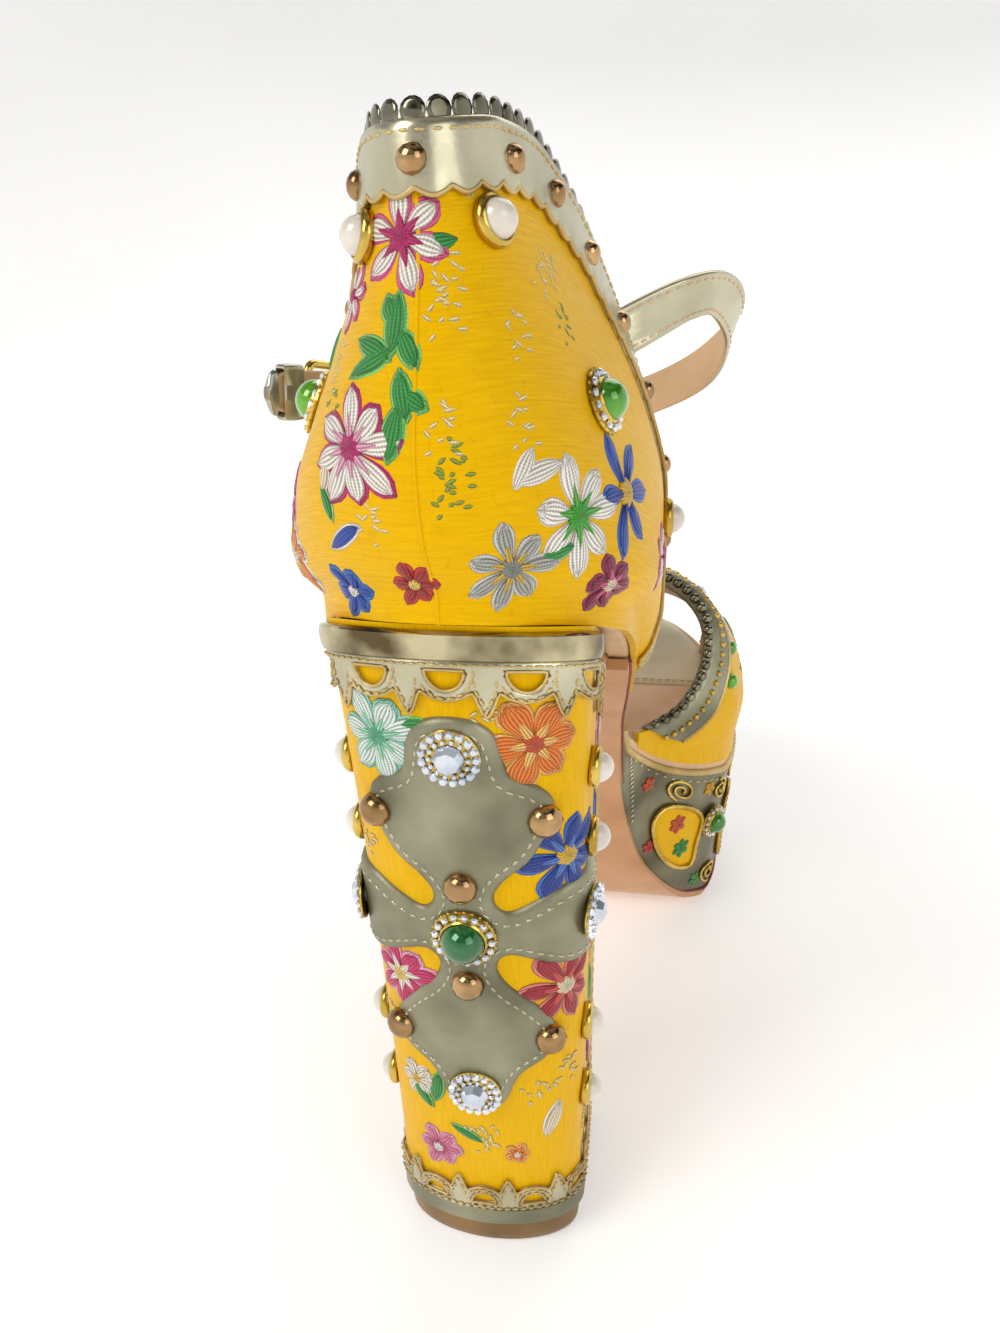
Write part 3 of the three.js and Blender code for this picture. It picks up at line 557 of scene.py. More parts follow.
class Effects:
    """Surface effects that several materials use, each a node group built once."""

    def __init__(self) -> None:
        """Build the groups."""
        self.grain = self.make_grain()
        self.weave = self.make_weave()
        self.brush = self.make_brush()

    @staticmethod
    def group(name: str, inputs: dict[str, float | None], outputs: Sequence[str]) -> tuple:
        """Start a group.

        Args:
            name: its name.
            inputs: each value input's default, or None for a vector.
            outputs: names of its value outputs.

        Returns:
            The group, its graph, its input node and its output node.
        """
        tree = bpy.data.node_groups.new(name, "ShaderNodeTree")
        for key, value in inputs.items():
            kind = "NodeSocketVector" if value is None else "NodeSocketFloat"
            socket = tree.interface.new_socket(key, in_out="INPUT", socket_type=kind)
            if value is not None:
                socket.default_value = value
        for key in outputs:
            tree.interface.new_socket(key, in_out="OUTPUT", socket_type="NodeSocketFloat")
        graph = Graph(tree)
        return tree, graph, graph.add("NodeGroupInput"), graph.add("NodeGroupOutput")

    def make_grain(self) -> bpy.types.NodeTree:
        """Build fine leather grain with soft creases."""
        tree, g, start, end = self.group("leather_grain", {"Vector": None, "Cells": 1100.0, "Crease": 0.4},
                                         ["Height", "Patch"])
        cells = g.add("ShaderNodeTexVoronoi", {"Vector": start.outputs[0], "Scale": start.outputs[1]},
                      feature="SMOOTH_F1")
        folds = g.add("ShaderNodeTexNoise", {"Vector": start.outputs[0], "Scale": 170.0, "Detail": 4.0,
                                             "Distortion": 0.6})
        broad = g.add("ShaderNodeTexNoise", {"Vector": start.outputs[0], "Scale": 45.0, "Detail": 3.0})
        crease = g.maths("MULTIPLY", folds.outputs[0], start.outputs[2])
        height = g.maths("ADD", g.maths("MULTIPLY", cells.outputs[0], 0.35), crease)
        g.tree.links.new(height, end.inputs[0])
        g.tree.links.new(g.ramp(broad.outputs[0], 0.35, 0.65), end.inputs[1])
        return tree

    def make_weave(self) -> bpy.types.NodeTree:
        """Build the ribs of a woven cloth, in the mm of its own UV map."""
        tree, g, start, end = self.group("cloth_weave", {"Vector": None, "Rib": 0.62, "Slub": 0.5},
                                         ["Height", "Thread"])
        scale = g.maths("DIVIDE", 0.314, start.outputs[1])
        rib = g.add("ShaderNodeTexWave", {"Vector": start.outputs[0], "Scale": scale, "Distortion": 0.6,
                                          "Detail Scale": 0.6}, bands_direction="Y")
        warp = g.add("ShaderNodeTexWave", {"Vector": start.outputs[0],
                                           "Scale": g.maths("MULTIPLY", scale, 0.8), "Distortion": 0.4},
                                           bands_direction="X")
        long = g.add("ShaderNodeVectorMath", {0: start.outputs[0], 1: (0.16, 2.2, 1.0)}, operation="MULTIPLY")
        slub = g.add("ShaderNodeTexNoise", {"Vector": long.outputs[0], "Scale": 1.0, "Detail": 3.0})
        height = g.maths("ADD", g.maths("MULTIPLY", rib.outputs[1], 0.7),
                         g.maths("MULTIPLY", warp.outputs[1], 0.2))
        g.tree.links.new(g.maths("ADD", height, g.maths("MULTIPLY", slub.outputs[0], start.outputs[2])),
                         end.inputs[0])
        g.tree.links.new(g.ramp(slub.outputs[0], 0.3, 0.7), end.inputs[1])
        return tree

    def make_brush(self) -> bpy.types.NodeTree:
        """Build the fine lines and clouding of handled metal; on the mirror gold the clouding is painted dark
        reflection.
        """
        tree, g, start, end = self.group("metal_handling_and_painted_reflections", {"Vector": None, "Scale": 300.0},
                                         ["Height", "Cloud"])
        fine = g.add("ShaderNodeTexNoise", {"Vector": start.outputs[0], "Scale": start.outputs[1],
                                            "Detail": 5.0, "Roughness": 0.65})
        cloud = g.add("ShaderNodeTexNoise", {"Vector": start.outputs[0], "Scale": 90.0, "Detail": 3.0})
        g.tree.links.new(fine.outputs[0], end.inputs[0])
        g.tree.links.new(g.ramp(cloud.outputs[0], 0.35, 0.65), end.inputs[1])
        return tree


@dataclass(frozen=True)
class Finish:
    """A finish: its two colours, its gloss and how it is worked."""

    name: str
    slot: str
    light: str
    dark: str
    rough: float
    rough_spread: float = 0.1
    metal: float = 0.0
    bump: float = 0.1
    coat: float = 0.0
    sheen: float = 0.0

    def start(self) -> tuple[bpy.types.Material, Graph, bpy.types.Node]:
        """Make the material and its shader.

        Returns:
            The material, its graph and its Principled node.
        """
        material = bpy.data.materials.new(self.name)
        material.use_nodes = True
        graph = Graph(material.node_tree)
        shader = material.node_tree.nodes["Principled BSDF"]
        shader.inputs["Metallic"].default_value = self.metal
        shader.inputs["Coat Weight"].default_value = self.coat
        shader.inputs["Coat Roughness"].default_value = 0.12
        shader.inputs["Sheen Weight"].default_value = self.sheen
        shader.inputs["Sheen Roughness"].default_value = 0.35
        return material, graph, shader

    def dress(self, graph: Graph, shader: bpy.types.Node, mask, height, colour=None) -> None:
        """Feed the shader from a mask and a height.

        Args:
            graph: the material's graph.
            shader: its Principled node.
            mask: where the dark colour shows.
            height: the relief, in mm where bump is 1.
            colour: a colour to use in place of the two.
        """
        if colour is None:
            colour = graph.mix(mask, (*shade(self.light), 1), (*shade(self.dark), 1))
        graph.tree.links.new(colour, shader.inputs["Base Color"])
        rough = graph.ramp(mask, 0, 1, self.rough, self.rough + self.rough_spread)
        graph.tree.links.new(rough, shader.inputs["Roughness"])
        bump = graph.add("ShaderNodeBump", {"Strength": 1.0, "Distance": self.bump * MM, "Height": height})
        graph.tree.links.new(bump.outputs[0], shader.inputs["Normal"])


@dataclass(frozen=True)
class Leather(Finish):
    """A dyed or foiled leather."""

    cells: float = 1100.0
    crease: float = 0.4

    def make(self, effects: Effects) -> bpy.types.Material:
        """Build the leather."""
        material, g, shader = self.start()
        place = g.add("ShaderNodeTexCoord").outputs["Object"]
        grain = g.effect(effects.grain, place, self.cells, self.crease)
        self.dress(g, shader, grain.outputs[1], grain.outputs[0])
        return material


@dataclass(frozen=True)
class Metal(Finish):
    """A plated or foiled metal."""

    scale: float = 300.0

    def make(self, effects: Effects) -> bpy.types.Material:
        """Build the metal."""
        material, g, shader = self.start()
        place = g.add("ShaderNodeTexCoord").outputs["Object"]
        brush = g.effect(effects.brush, place, self.scale)
        self.dress(g, shader, brush.outputs[1], brush.outputs[0])
        return material


@dataclass(frozen=True)
class Cloth(Finish):
    """A satin ground with scattered small woven figures."""

    rib: float = 0.62
    figure: str = "b07412"

    def make(self, effects: Effects) -> bpy.types.Material:
        """Build the cloth."""
        material, g, shader = self.start()
        shader.inputs["Specular IOR Level"].default_value = 0.35
        shader.inputs["Specular Tint"].default_value = (1.0, 0.78, 0.12, 1.0)
        place = g.add("ShaderNodeUVMap", uv_map="cloth").outputs[0]
        weave = g.effect(effects.weave, place, self.rib)
        ground = g.mix(weave.outputs[1], (*shade(self.light), 1), (*shade(self.dark), 1))
        cells = g.add("ShaderNodeTexVoronoi", {"Vector": place, "Scale": 0.14, "Randomness": 0.8})
        swirl = g.add("ShaderNodeTexNoise", {"Vector": place, "Scale": 0.32, "Detail": 1.0,
                                             "Distortion": 2.2})
        lines = g.add("ShaderNodeTexWave", {"Vector": place, "Scale": 0.05, "Distortion": 9.0,
                                            "Detail Scale": 1.4, "Detail": 1.0})
        vine = g.ramp(g.maths("ABSOLUTE", g.maths("SUBTRACT", lines.outputs[1], 0.5)), 0.0, 0.09, 1.0, 0.0)
        keep = g.ramp(swirl.outputs[0], 0.5, 0.56)
        vine = g.maths("MULTIPLY", g.maths("MULTIPLY", vine, keep), 0.22)
        spot = g.maths("MULTIPLY", g.ramp(cells.outputs[0], 0.1, 0.15, 1.0, 0.0), 0.12)
        woven = g.mix(g.maths("MAXIMUM", vine, spot), ground, (*shade(self.figure), 1))
        height = g.maths("ADD", weave.outputs[0], g.maths("MULTIPLY", vine, 1.5))
        self.dress(g, shader, weave.outputs[1], height, woven)
        return material


@dataclass(frozen=True)
class Thread(Finish):
    """Satin stitches in the colours that the mesh carries, darkened by painted shade in the grooves between the
    threads.
    """

    def make(self, effects: Effects) -> bpy.types.Material:
        """Build the thread."""
        material, g, shader = self.start()
        place = g.add("ShaderNodeUVMap", uv_map="cloth").outputs[0]
        weave = g.effect(effects.weave, place, 0.42)
        tint = g.add("ShaderNodeAttribute", attribute_name="tint").outputs[0]
        # painted shade: the thread goes from its light colour on the ridges to its dark colour in the grooves
        colour = g.mix(g.ramp(weave.outputs[0], 0.3, 1.0), (*shade(self.dark), 1), (*shade(self.light), 1))
        self.dress(g, shader, weave.outputs[1], weave.outputs[0], g.mix(1.0, tint, colour, "MULTIPLY"))
        return material


@dataclass(frozen=True)
class Gem(Finish):
    """A pearl, a cabochon or a cut stone."""

    index: float = 1.5

    def make(self, effects: Effects) -> bpy.types.Material:
        """Build the stone."""
        material, g, shader = self.start()
        shader.inputs["IOR"].default_value = self.index
        place = g.add("ShaderNodeTexCoord").outputs["Object"]
        brush = g.effect(effects.brush, place, 160.0)
        self.dress(g, shader, brush.outputs[1], brush.outputs[0])
        return material


FINISHES = (
    Cloth("satin_brocade", "brocade", "eab600", "dda800", 0.37, 0.12, bump=0.03),
    # the satin thread's dark colour is painted shade for the grooves between the threads
    Thread("satin_thread", "brocade", "ffffff", "a39a90", 0.4, 0.12, bump=0.16, sheen=0.2),
    Leather("pewter_leather", "pewter_leather", "8f8a70", "5f5a46", 0.26, 0.16, 0.75, 0.06),
    Leather("pale_gold_leather", "gold_leather", "cdc8ac", "aaa487", 0.2, 0.14, 0.85, 0.06, crease=0.7),
    Leather("brushed_leather", "gold_leather", "a09d82", "716f58", 0.34, 0.16, 0.65, 0.09, cells=1600.0,
            crease=0.6),
    Leather("tan_leather", "sole_leather", "cf9a68", "b98656", 0.34, 0.12, bump=0.02, coat=0.3),
    Leather("nude_lining", "sock_leather", "e2c096", "d2ad82", 0.48, 0.1, bump=0.03),
    Leather("sock_leather", "sock_leather", "e8e2c4", "dad3b2", 0.44, 0.1, bump=0.04),
    Leather("top_lift_rubber", "tread", "8c641e", "6a4a12", 0.32, 0.14, bump=0.04, cells=2200.0),
    # the mirror gold's dark colour, laid in clouds, is painted dark reflection on the band's real gilt leather
    Metal("mirror_gold_painted_reflections", "gilt", "c8bd98", "5f5238", 0.06, 0.1, 1.0, 0.12, scale=70.0),
    Metal("gilt_rim", "gilt", "e2c464", "b08f3a", 0.12, 0.12, 1.0, 0.01),
    Metal("rose_stud", "gilt", "c8a274", "8a6a44", 0.1, 0.1, 1.0, 0.01),
    # a darker copy of the mirror gold for metal discs and beads that sit in shadow: its dark tone is painted
    # shade
    Metal("shade_painted_mirror", "gilt", "8e8a78", "55523f", 0.08, 0.1, 1.0, 0.01),
    Metal("silver_tip", "gilt", "d9d8d2", "b5b3ab", 0.18, 0.1, 1.0, 0.02),
    Gem("pearl_skin", "pearl", "e6dfd2", "d2cabb", 0.14, 0.08, bump=0.01, coat=0.8, sheen=0.1),
    Gem("green_stone", "green_stone", "5fae14", "2c7808", 0.04, 0.03, 0.35, bump=0.0, coat=1.0),
    Gem("emerald_stone", "green_stone", "157a36", "0b4a20", 0.04, 0.03, 0.35, bump=0.0, coat=1.0),
    Gem("cut_crystal", "crystal", "f4f6fa", "b9c4d2", 0.03, 0.02, 0.6, bump=0.0, coat=1.0),
    Leather("piping_cord", "gold_leather", "d8bf84", "ae9052", 0.3, 0.15, 0.6, 0.08, cells=2600.0),
    Leather("edge_paint", "sole_leather", "8e3a28", "6f2c1e", 0.45, 0.1, bump=0.02),
)


class Small(Enum):
    """Small repeated pieces: segments, rings, length, width, height in radii, and whether they are cut flat."""

    DOME = (12, 7, 1.0, 1.0, 0.8, False)
    BALL = (10, 7, 1.0, 1.0, 1.0, False)
    DISC = (14, 5, 1.0, 1.0, 0.15, False)
    STITCH = (6, 5, 1.0, 0.36, 0.34, False)
    CUT = (8, 4, 1.0, 1.0, 0.72, True)


@dataclass
class Scatter:
    """Sets a small piece at many seats through a Geometry Nodes tree."""

    kind: Small
    material: bpy.types.Material
    seed: int = 3
    spread: float = 0.05

    def tree(self) -> bpy.types.NodeTree:
        """Build the tree.

        Returns:
            The Geometry Nodes group.
        """
        segments, rings, length, width, height, flat = self.kind.value
        tree = bpy.data.node_groups.new("set_" + self.kind.name.lower(), "GeometryNodeTree")
        face = tree.interface
        face.new_socket("Geometry", in_out="INPUT", socket_type="NodeSocketGeometry")
        for name, value in (("Segments", segments), ("Rings", rings), ("Seed", self.seed)):
            face.new_socket(name, in_out="INPUT", socket_type="NodeSocketInt").default_value = value
        for name, value in (("Length", length), ("Width", width), ("Height", height),
                            ("Spread", self.spread)):
            face.new_socket(name, in_out="INPUT", socket_type="NodeSocketFloat").default_value = value
        face.new_socket("Finish", in_out="INPUT", socket_type="NodeSocketMaterial")
        face.new_socket("Geometry", in_out="OUTPUT", socket_type="NodeSocketGeometry")
        g = Graph(tree)
        start, end = g.add("NodeGroupInput"), g.add("NodeGroupOutput")
        out = {s.name: s for s in start.outputs}
        ball = g.add("GeometryNodeMeshUVSphere", {"Segments": out["Segments"], "Rings": out["Rings"],
                                                  "Radius": 1.0})
        size = g.add("ShaderNodeCombineXYZ", {0: out["Length"], 1: out["Width"], 2: out["Height"]})
        shaped = g.add("GeometryNodeTransform", {"Geometry": ball.outputs[0], "Scale": size.outputs[0]})
        shaded = g.add("GeometryNodeSetShadeSmooth", {"Geometry": shaped.outputs[0],
                                                      "Shade Smooth": not flat})
        aim = g.add("GeometryNodeInputNamedAttribute", {"Name": "aim"}, data_type="FLOAT_VECTOR")
        run = g.add("GeometryNodeInputNamedAttribute", {"Name": "run"}, data_type="FLOAT_VECTOR")
        radius = g.add("GeometryNodeInputNamedAttribute", {"Name": "radius"}, data_type="FLOAT")
        up = g.add("FunctionNodeAlignRotationToVector", {"Vector": aim.outputs[0]}, axis="Z")
        turned = g.add("FunctionNodeAlignRotationToVector", {"Rotation": up.outputs[0],
                                                             "Vector": run.outputs[0]},
                       axis="X", pivot_axis="Z")
        low = g.maths("SUBTRACT", 1.0, out["Spread"])
        high = g.maths("ADD", 1.0, out["Spread"])
        chance = g.add("FunctionNodeRandomValue", {2: low, 3: high, "Seed": out["Seed"]}, data_type="FLOAT")
        scale = g.maths("MULTIPLY", radius.outputs[0], chance.outputs[1])
        placed = g.add("GeometryNodeInstanceOnPoints", {
            "Points": out["Geometry"], "Instance": shaded.outputs[0], "Rotation": turned.outputs[0],
            "Scale": scale})
        real = g.add("GeometryNodeRealizeInstances", {"Geometry": placed.outputs[0]})
        dressed = g.add("GeometryNodeSetMaterial", {"Geometry": real.outputs[0], "Material": out["Finish"]})
        tree.links.new(dressed.outputs[0], end.inputs[0])
        return tree

    def make(self, name: str, seats: Sequence[tuple[Seat, float]]) -> bpy.types.Object:
        """Set the pieces and turn them into one plain mesh.

        Args:
            name: the object's name.
            seats: where each stands, with its radius in mm.

        Returns:
            The object.
        """
        mesh = bpy.data.meshes.new(name + "_seats")
        mesh.from_pydata([tuple(s.point * MM) for s, _ in seats], [], [])
        for key, rows in (("aim", [s.out for s, _ in seats]), ("run", [s.along for s, _ in seats])):
            layer = mesh.attributes.new(key, "FLOAT_VECTOR", "POINT")
            layer.data.foreach_set("vector", np.array(rows, np.float32).ravel())
        mesh.attributes.new("radius", "FLOAT", "POINT").data.foreach_set(
            "value", np.array([r * MM for _, r in seats], np.float32))
        holder = bpy.data.objects.new(name + "_seats", mesh)
        bpy.context.scene.collection.objects.link(holder)
        modifier = holder.modifiers.new("set", "NODES")
        modifier.node_group = self.tree()
        for item in modifier.node_group.interface.items_tree:
            if item.in_out == "INPUT" and item.name == "Finish":
                modifier[item.identifier] = self.material
            elif item.in_out == "INPUT" and item.name != "Geometry":
                modifier[item.identifier] = item.default_value
        done = holder.evaluated_get(bpy.context.evaluated_depsgraph_get())
        plain = bpy.data.meshes.new_from_object(done)
        holder.modifiers.remove(modifier)
        bpy.data.objects.remove(holder)
        bpy.data.meshes.remove(mesh)
        plain.name = name
        thing = bpy.data.objects.new(name, plain)
        bpy.context.scene.collection.objects.link(thing)
        return thing


class Wardrobe:
    """Every finish as a material, by name."""

    def __init__(self) -> None:
        """Build them."""
        effects = Effects()
        self.made = {finish.name: finish.make(effects) for finish in FINISHES}
        self.slots = {finish.name: finish.slot for finish in FINISHES}

    def __getitem__(self, name: str) -> bpy.types.Material:
        """Give a material."""
        return self.made[name]

    def fit(self, thing: bpy.types.Object, name: str, *nodes: str) -> None:
        """Fasten a finished piece to the frame.

        Args:
            thing: the piece.
            name: its main finish; not used.
            nodes: the solids that it stands for.
        """
        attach(thing, "root")
        if nodes:
            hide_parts(*nodes)
        LOG.info("%s: %d faces", thing.name, len(thing.data.polygons))

    def piece(self, build: Build, name: str, finish: str, *nodes: str, angle: float = 42.0) -> None:
        """Finish a gathered build in one material and fasten it.

        Args:
            build: its points and faces.
            name: the piece's name.
            finish: its finish.
            nodes: the solids that it stands for.
            angle: faces that meet at more than this, in degrees, keep a sharp edge.
        """
        self.fit(build.finish(name, [self[finish]], angle), finish, *nodes)

    def row(self, kind: Small, name: str, finish: str, seats: Sequence[tuple[Seat, float]], *nodes: str,
            spread: float = 0.05) -> None:
        """Set a small piece at many seats and fasten the whole row.

        Args:
            kind: the small piece.
            name: the row's name.
            finish: its finish.
            seats: where each stands, with its radius in mm.
            nodes: the solids that it stands for.
            spread: how far the sizes differ.
        """
        self.fit(Scatter(kind, self[finish], spread=spread).make(name, seats), finish, *nodes)


@dataclass
class SoleForm:
    """The sole's lines in mm: its top, its underside and its edges from back to toe."""

    length: float = 223.0
    back: float = -27.0
    seat_width: float = 53.0
    ball_width: float = 88.0
    seat_height: float = 156.0
    platform_height: float = 51.0
    toe_spring: float = 16.0
    board: float = 5.0
    outsole: float = 2.4
    insole: float = 1.6
    taper: float = 3.5
    fit: float = 0.3
    stations: Table = Table("along rise lift depth inner outer", [
        (0.0, 1.0, 0, 0.16, 0.500, 0.500), (0.04, 0.972, 0, 0.16, 0.491, 0.491),
        (0.121, 0.893, 0, 0.16, 0.467, 0.467), (0.211, 0.79, 0, 0.16, 0.439, 0.443),
        (0.278, 0.69, 0, 0.16, 0.407, 0.423), (0.345, 0.567, 0, 0.165, 0.359, 0.396),
        (0.413, 0.415, 0, 0.2, 0.307, 0.374), (0.475, 0.262, 0, 0.36, 0.289, 0.368),
        (0.516, 0.175, 0, 0.62, 0.330, 0.373), (0.56, 0.095, 0, 0.88, 0.419, 0.380),
        (0.605, 0.042, 0, 1.02, 0.515, 0.388), (0.65, 0.012, 0, 1.04, 0.583, 0.388),
        (0.704, 0, 0, 1.02, 0.605, 0.377), (0.758, 0, 0.01, 1.02, 0.612, 0.355),
        (0.816, 0, 0.09, 1.016, 0.6, 0.327), (0.874, 0, 0.28, 1.037, 0.562, 0.275),
        (0.928, 0, 0.56, 1.075, 0.506, 0.188), (0.964, 0, 0.8, 1.108, 0.426, 0.102),
        (0.987, 0, 0.93, 1.12, 0.347, 0.023), (1.0, 0, 1.0, 1.13, 0.244, -0.085)])

    @property
    def toe(self) -> float:
        """Give the toe's y."""
        return self.back + self.length

    def row(self, column: str, y) -> np.ndarray:
        """Read a column at a y."""
        return self.stations(column, (np.asarray(y, float) - self.back) / self.length)

    def top(self, y) -> np.ndarray:
        """Give the height of the board's top."""
        rise = self.row("rise", y) * (self.seat_height - self.platform_height)
        return self.platform_height + rise + self.row("lift", y) * self.toe_spring

    def under(self, y) -> np.ndarray:
        """Give the height of the outsole's underside."""
        slope = self.top(np.asarray(y) + 0.5) - self.top(np.asarray(y) - 0.5)
        least = self.board + (self.outsole + 2.2 * self.fit) * np.hypot(1, slope)
        return np.maximum(0, self.top(y) - np.maximum(least, self.row("depth", y) * self.platform_height))

    def girth(self, y) -> np.ndarray:
        """Give the width that the edge columns are shares of."""
        return self.ball_width + (self.seat_width - self.ball_width) * self.row("rise", y)

    def side(self, side, y) -> np.ndarray:
        """Give the half width on one side, before the back is rounded."""
        y, side = np.broadcast_arrays(np.asarray(y, float), side)
        return np.where(side > 0, self.row("inner", y), self.row("outer", y)) * self.girth(y)

    def edge(self, side, y) -> np.ndarray:
        """Give the x of one edge."""
        return side * self.side(side, y) * np.maximum(0.07, back_round(np.asarray(y, float) - self.back, 27.2,
                                                                       0.5))

    def seat_under(self, y) -> np.ndarray:
        """Give the height of the board's underside, less the fit."""
        return self.top(y) - self.board - self.fit

    def draw_in(self, y) -> np.ndarray:
        """Give how far the underside's edge stands inside the top's."""
        return self.taper * np.clip((self.row("depth", y) - 0.16) / 0.6, 0, 1)


FORM = SoleForm()


@dataclass
class CounterForm:
    """The counter's outer face, from its outer front edge (-1) to its inner one (1) and by height."""

    height: float = 66.0
    length: float = 80.0
    wall: float = 2.6
    seam: float = 6.0
    band: float = 8.5
    sections: Table = Table("height back reach width point lean", [
        (0.0, 0.0, 0.34, 1.05, 0.5, 0), (0.06, -0.02, 0.4, 1.2, 0.5, -0.008),
        (0.15, -0.04, 0.5, 1.27, 0.51, -0.018), (0.3, -0.05, 0.62, 1.27, 0.54, -0.02),
        (0.45, -0.038, 0.74, 1.25, 0.6, -0.012), (0.6, -0.006, 0.84, 1.21, 0.67, -0.005),
        (0.75, 0.035, 0.9, 1.15, 0.76, -0.005), (0.9, 0.07, 0.95, 1.08, 0.86, -0.013),
        (1.05, 0.095, 0.98, 1.02, 0.93, -0.02), (1.2, 0.115, 1.0, 0.98, 0.98, -0.024)])
    topline: Table = Table("along inner outer", [
        (0.0, 1.02, 1.02), (0.12, 1.09, 1.05), (0.28, 1.14, 1.03), (0.43, 1.12, 0.96), (0.57, 1.05, 0.885),
        (0.7, 0.95, 0.8), (0.8, 0.835, 0.71), (0.88, 0.69, 0.61), (0.95, 0.56, 0.52), (1.0, 0.46, 0.44)])

    def at(self, u, h) -> np.ndarray:
        """Give points of the outer face."""
        u, h = np.broadcast_arrays(np.asarray(u, float), np.asarray(h, float))
        side = np.where(u < 0, -1.0, 1.0)
        along = u * u
        s = along * self.length
        y = FORM.back + self.sections("back", h) * self.length + s
        full = FORM.side(side, np.maximum(y, FORM.back)) * self.sections("width", h)
        full = full * back_round(s, self.sections("reach", h) * self.length, self.sections("point", h))
        nose = 2 * self.seam * s * (1 - np.minimum(1, along)) ** 5 * np.clip(h / 0.3, 0, 1)
        half = np.hypot(full, np.sqrt(np.maximum(0, nose)))
        x = side * half + self.sections("lean", h) * FORM.seat_width
        return points(x, y, FORM.top(y) + h * self.height)

    def top(self, u) -> np.ndarray:
        """Give the top edge's share of height."""
        u = np.asarray(u, float)
        return np.where(u < 0, self.topline("outer", u * u), self.topline("inner", u * u))

    def edge_drop(self, u, width: float) -> np.ndarray:
        """Give how far, in shares of height, a band of some width in mm reaches down from the edge."""
        u = np.asarray(u, float)
        run = self.at(u + 0.01, self.top(u + 0.01)) - self.at(u - 0.01, self.top(u - 0.01))
        steep = np.abs(run[..., 2]) / np.maximum(0.5, np.hypot(run[..., 0], run[..., 1]))
        return np.minimum(self.top(u) - 0.02, width * np.hypot(1, steep) / self.height)


@dataclass
class VampForm:
    """The vamp's outer face, by turn from the outer side (0) over the top to the inner (1) and by y."""

    height: float = 62.0
    rear: float = 79.0
    throat: float = 128.0
    front: float = 181.0
    toe: float = 171.0
    wall: float = 2.4
    sections: Table = Table("along height bulge", [
        (0.0, 1.0, 1.5), (0.25, 1.0, 3.0), (0.48, 0.94, 3.2), (0.65, 0.8, 2.4), (0.82, 0.62, 1.4),
        (0.93, 0.49, 0.8), (1.0, 0.43, 0.5)])

    def at(self, turn, y) -> np.ndarray:
        """Give points of the outer face."""
        turn, y = np.broadcast_arrays(np.asarray(turn, float), np.asarray(y, float))
        angle = np.pi * turn
        share = (y - self.rear) / (self.front - self.rear)
        bend = np.abs(np.cos(angle)) ** (2 / 2.6) * np.sign(-np.cos(angle))
        up = np.abs(np.sin(angle)) ** (2 / 2.6)
        bulge = self.sections("bulge", share) * np.minimum(1, 4 * up)
        inner, outer = FORM.edge(1, y) + bulge, FORM.edge(-1, y) - bulge
        z = FORM.top(y) + up * self.sections("height", share) * self.height + FORM.fit
        return points(lerp(outer, inner, 0.5 + 0.5 * bend), y, z)

    def throat_y(self, turn) -> np.ndarray:
        """Give the y of the throat's edge."""
        return lerp(self.rear, self.throat, (1 - np.abs(2 * np.asarray(turn) - 1)) ** 0.42)

    def front_y(self, turn) -> np.ndarray:
        """Give the y of the front edge."""
        return lerp(self.front, self.toe, np.sin(np.pi * np.asarray(turn)))


@dataclass
class HeelForm:
    """The heel's side, by a number from the outer breast edge (-1) round the back to the inner (1) and by z."""

    width: float = 47.5
    depth: float = 54.0
    back: float = -26.4
    lift: float = 6.5
    sections: Table = Table("height width back breast", [
        (0.0, 0.825, 0.135, 0.88), (0.15, 0.835, 0.13, 0.883), (0.4, 0.865, 0.11, 0.9),
        (0.65, 0.905, 0.077, 0.925), (0.82, 0.945, 0.043, 0.96), (1.0, 1.0, 0.0, 1.0)])

    def at(self, u, z) -> np.ndarray:
        """Give points of the side."""
        u, z = np.broadcast_arrays(np.asarray(u, float), np.asarray(z, float))
        row = lambda c: self.sections(c, z / FORM.seat_height)
        half = row("width") * self.width / 2
        back, front = self.back + row("back") * self.depth, self.back + row("breast") * self.depth
        deep, away = half * 0.52, np.abs(u)
        angle = np.clip(u / 0.64, -1, 1) * np.pi / 2
        t = np.clip((away - 0.64) / 0.36, 0, 1)
        x = np.where(away <= 0.64, half * np.sin(angle), np.sign(u) * half * (1 - 0.1 * t * t))
        y = np.where(away <= 0.64, back + deep * (1 - np.cos(angle)), lerp(back + deep, front, t))
        return points(x, y, z)

    def seat_line(self, u) -> np.ndarray:
        """Give the height of the top band's upper edge."""
        return FORM.seat_under(self.at(u, FORM.seat_height)[..., 1]) - 0.9

    def ring(self, z: float, out: float, count: int = 121, hollow: int = 15) -> np.ndarray:
        """Give a level ring: the side, then the breast.

        Args:
            z: its height, or a height for each point of the side.
            out: how far it stands out of the side.
            count: points on the side.
            hollow: points on the breast.

        Returns:
            The ring's points.
        """
        side = raised(self.at, np.linspace(-1, 1, count), z, out, dv=1.0)
        t = np.linspace(0, 1, hollow + 2)[1:-1, None]
        breast = lerp(side[-1], side[0], t)
        breast[:, 1] -= 1.6 * np.sin(np.pi * t[:, 0])
        return np.concatenate([side, breast])


COUNTER, VAMP, HEEL = CounterForm(), VampForm(), HeelForm()


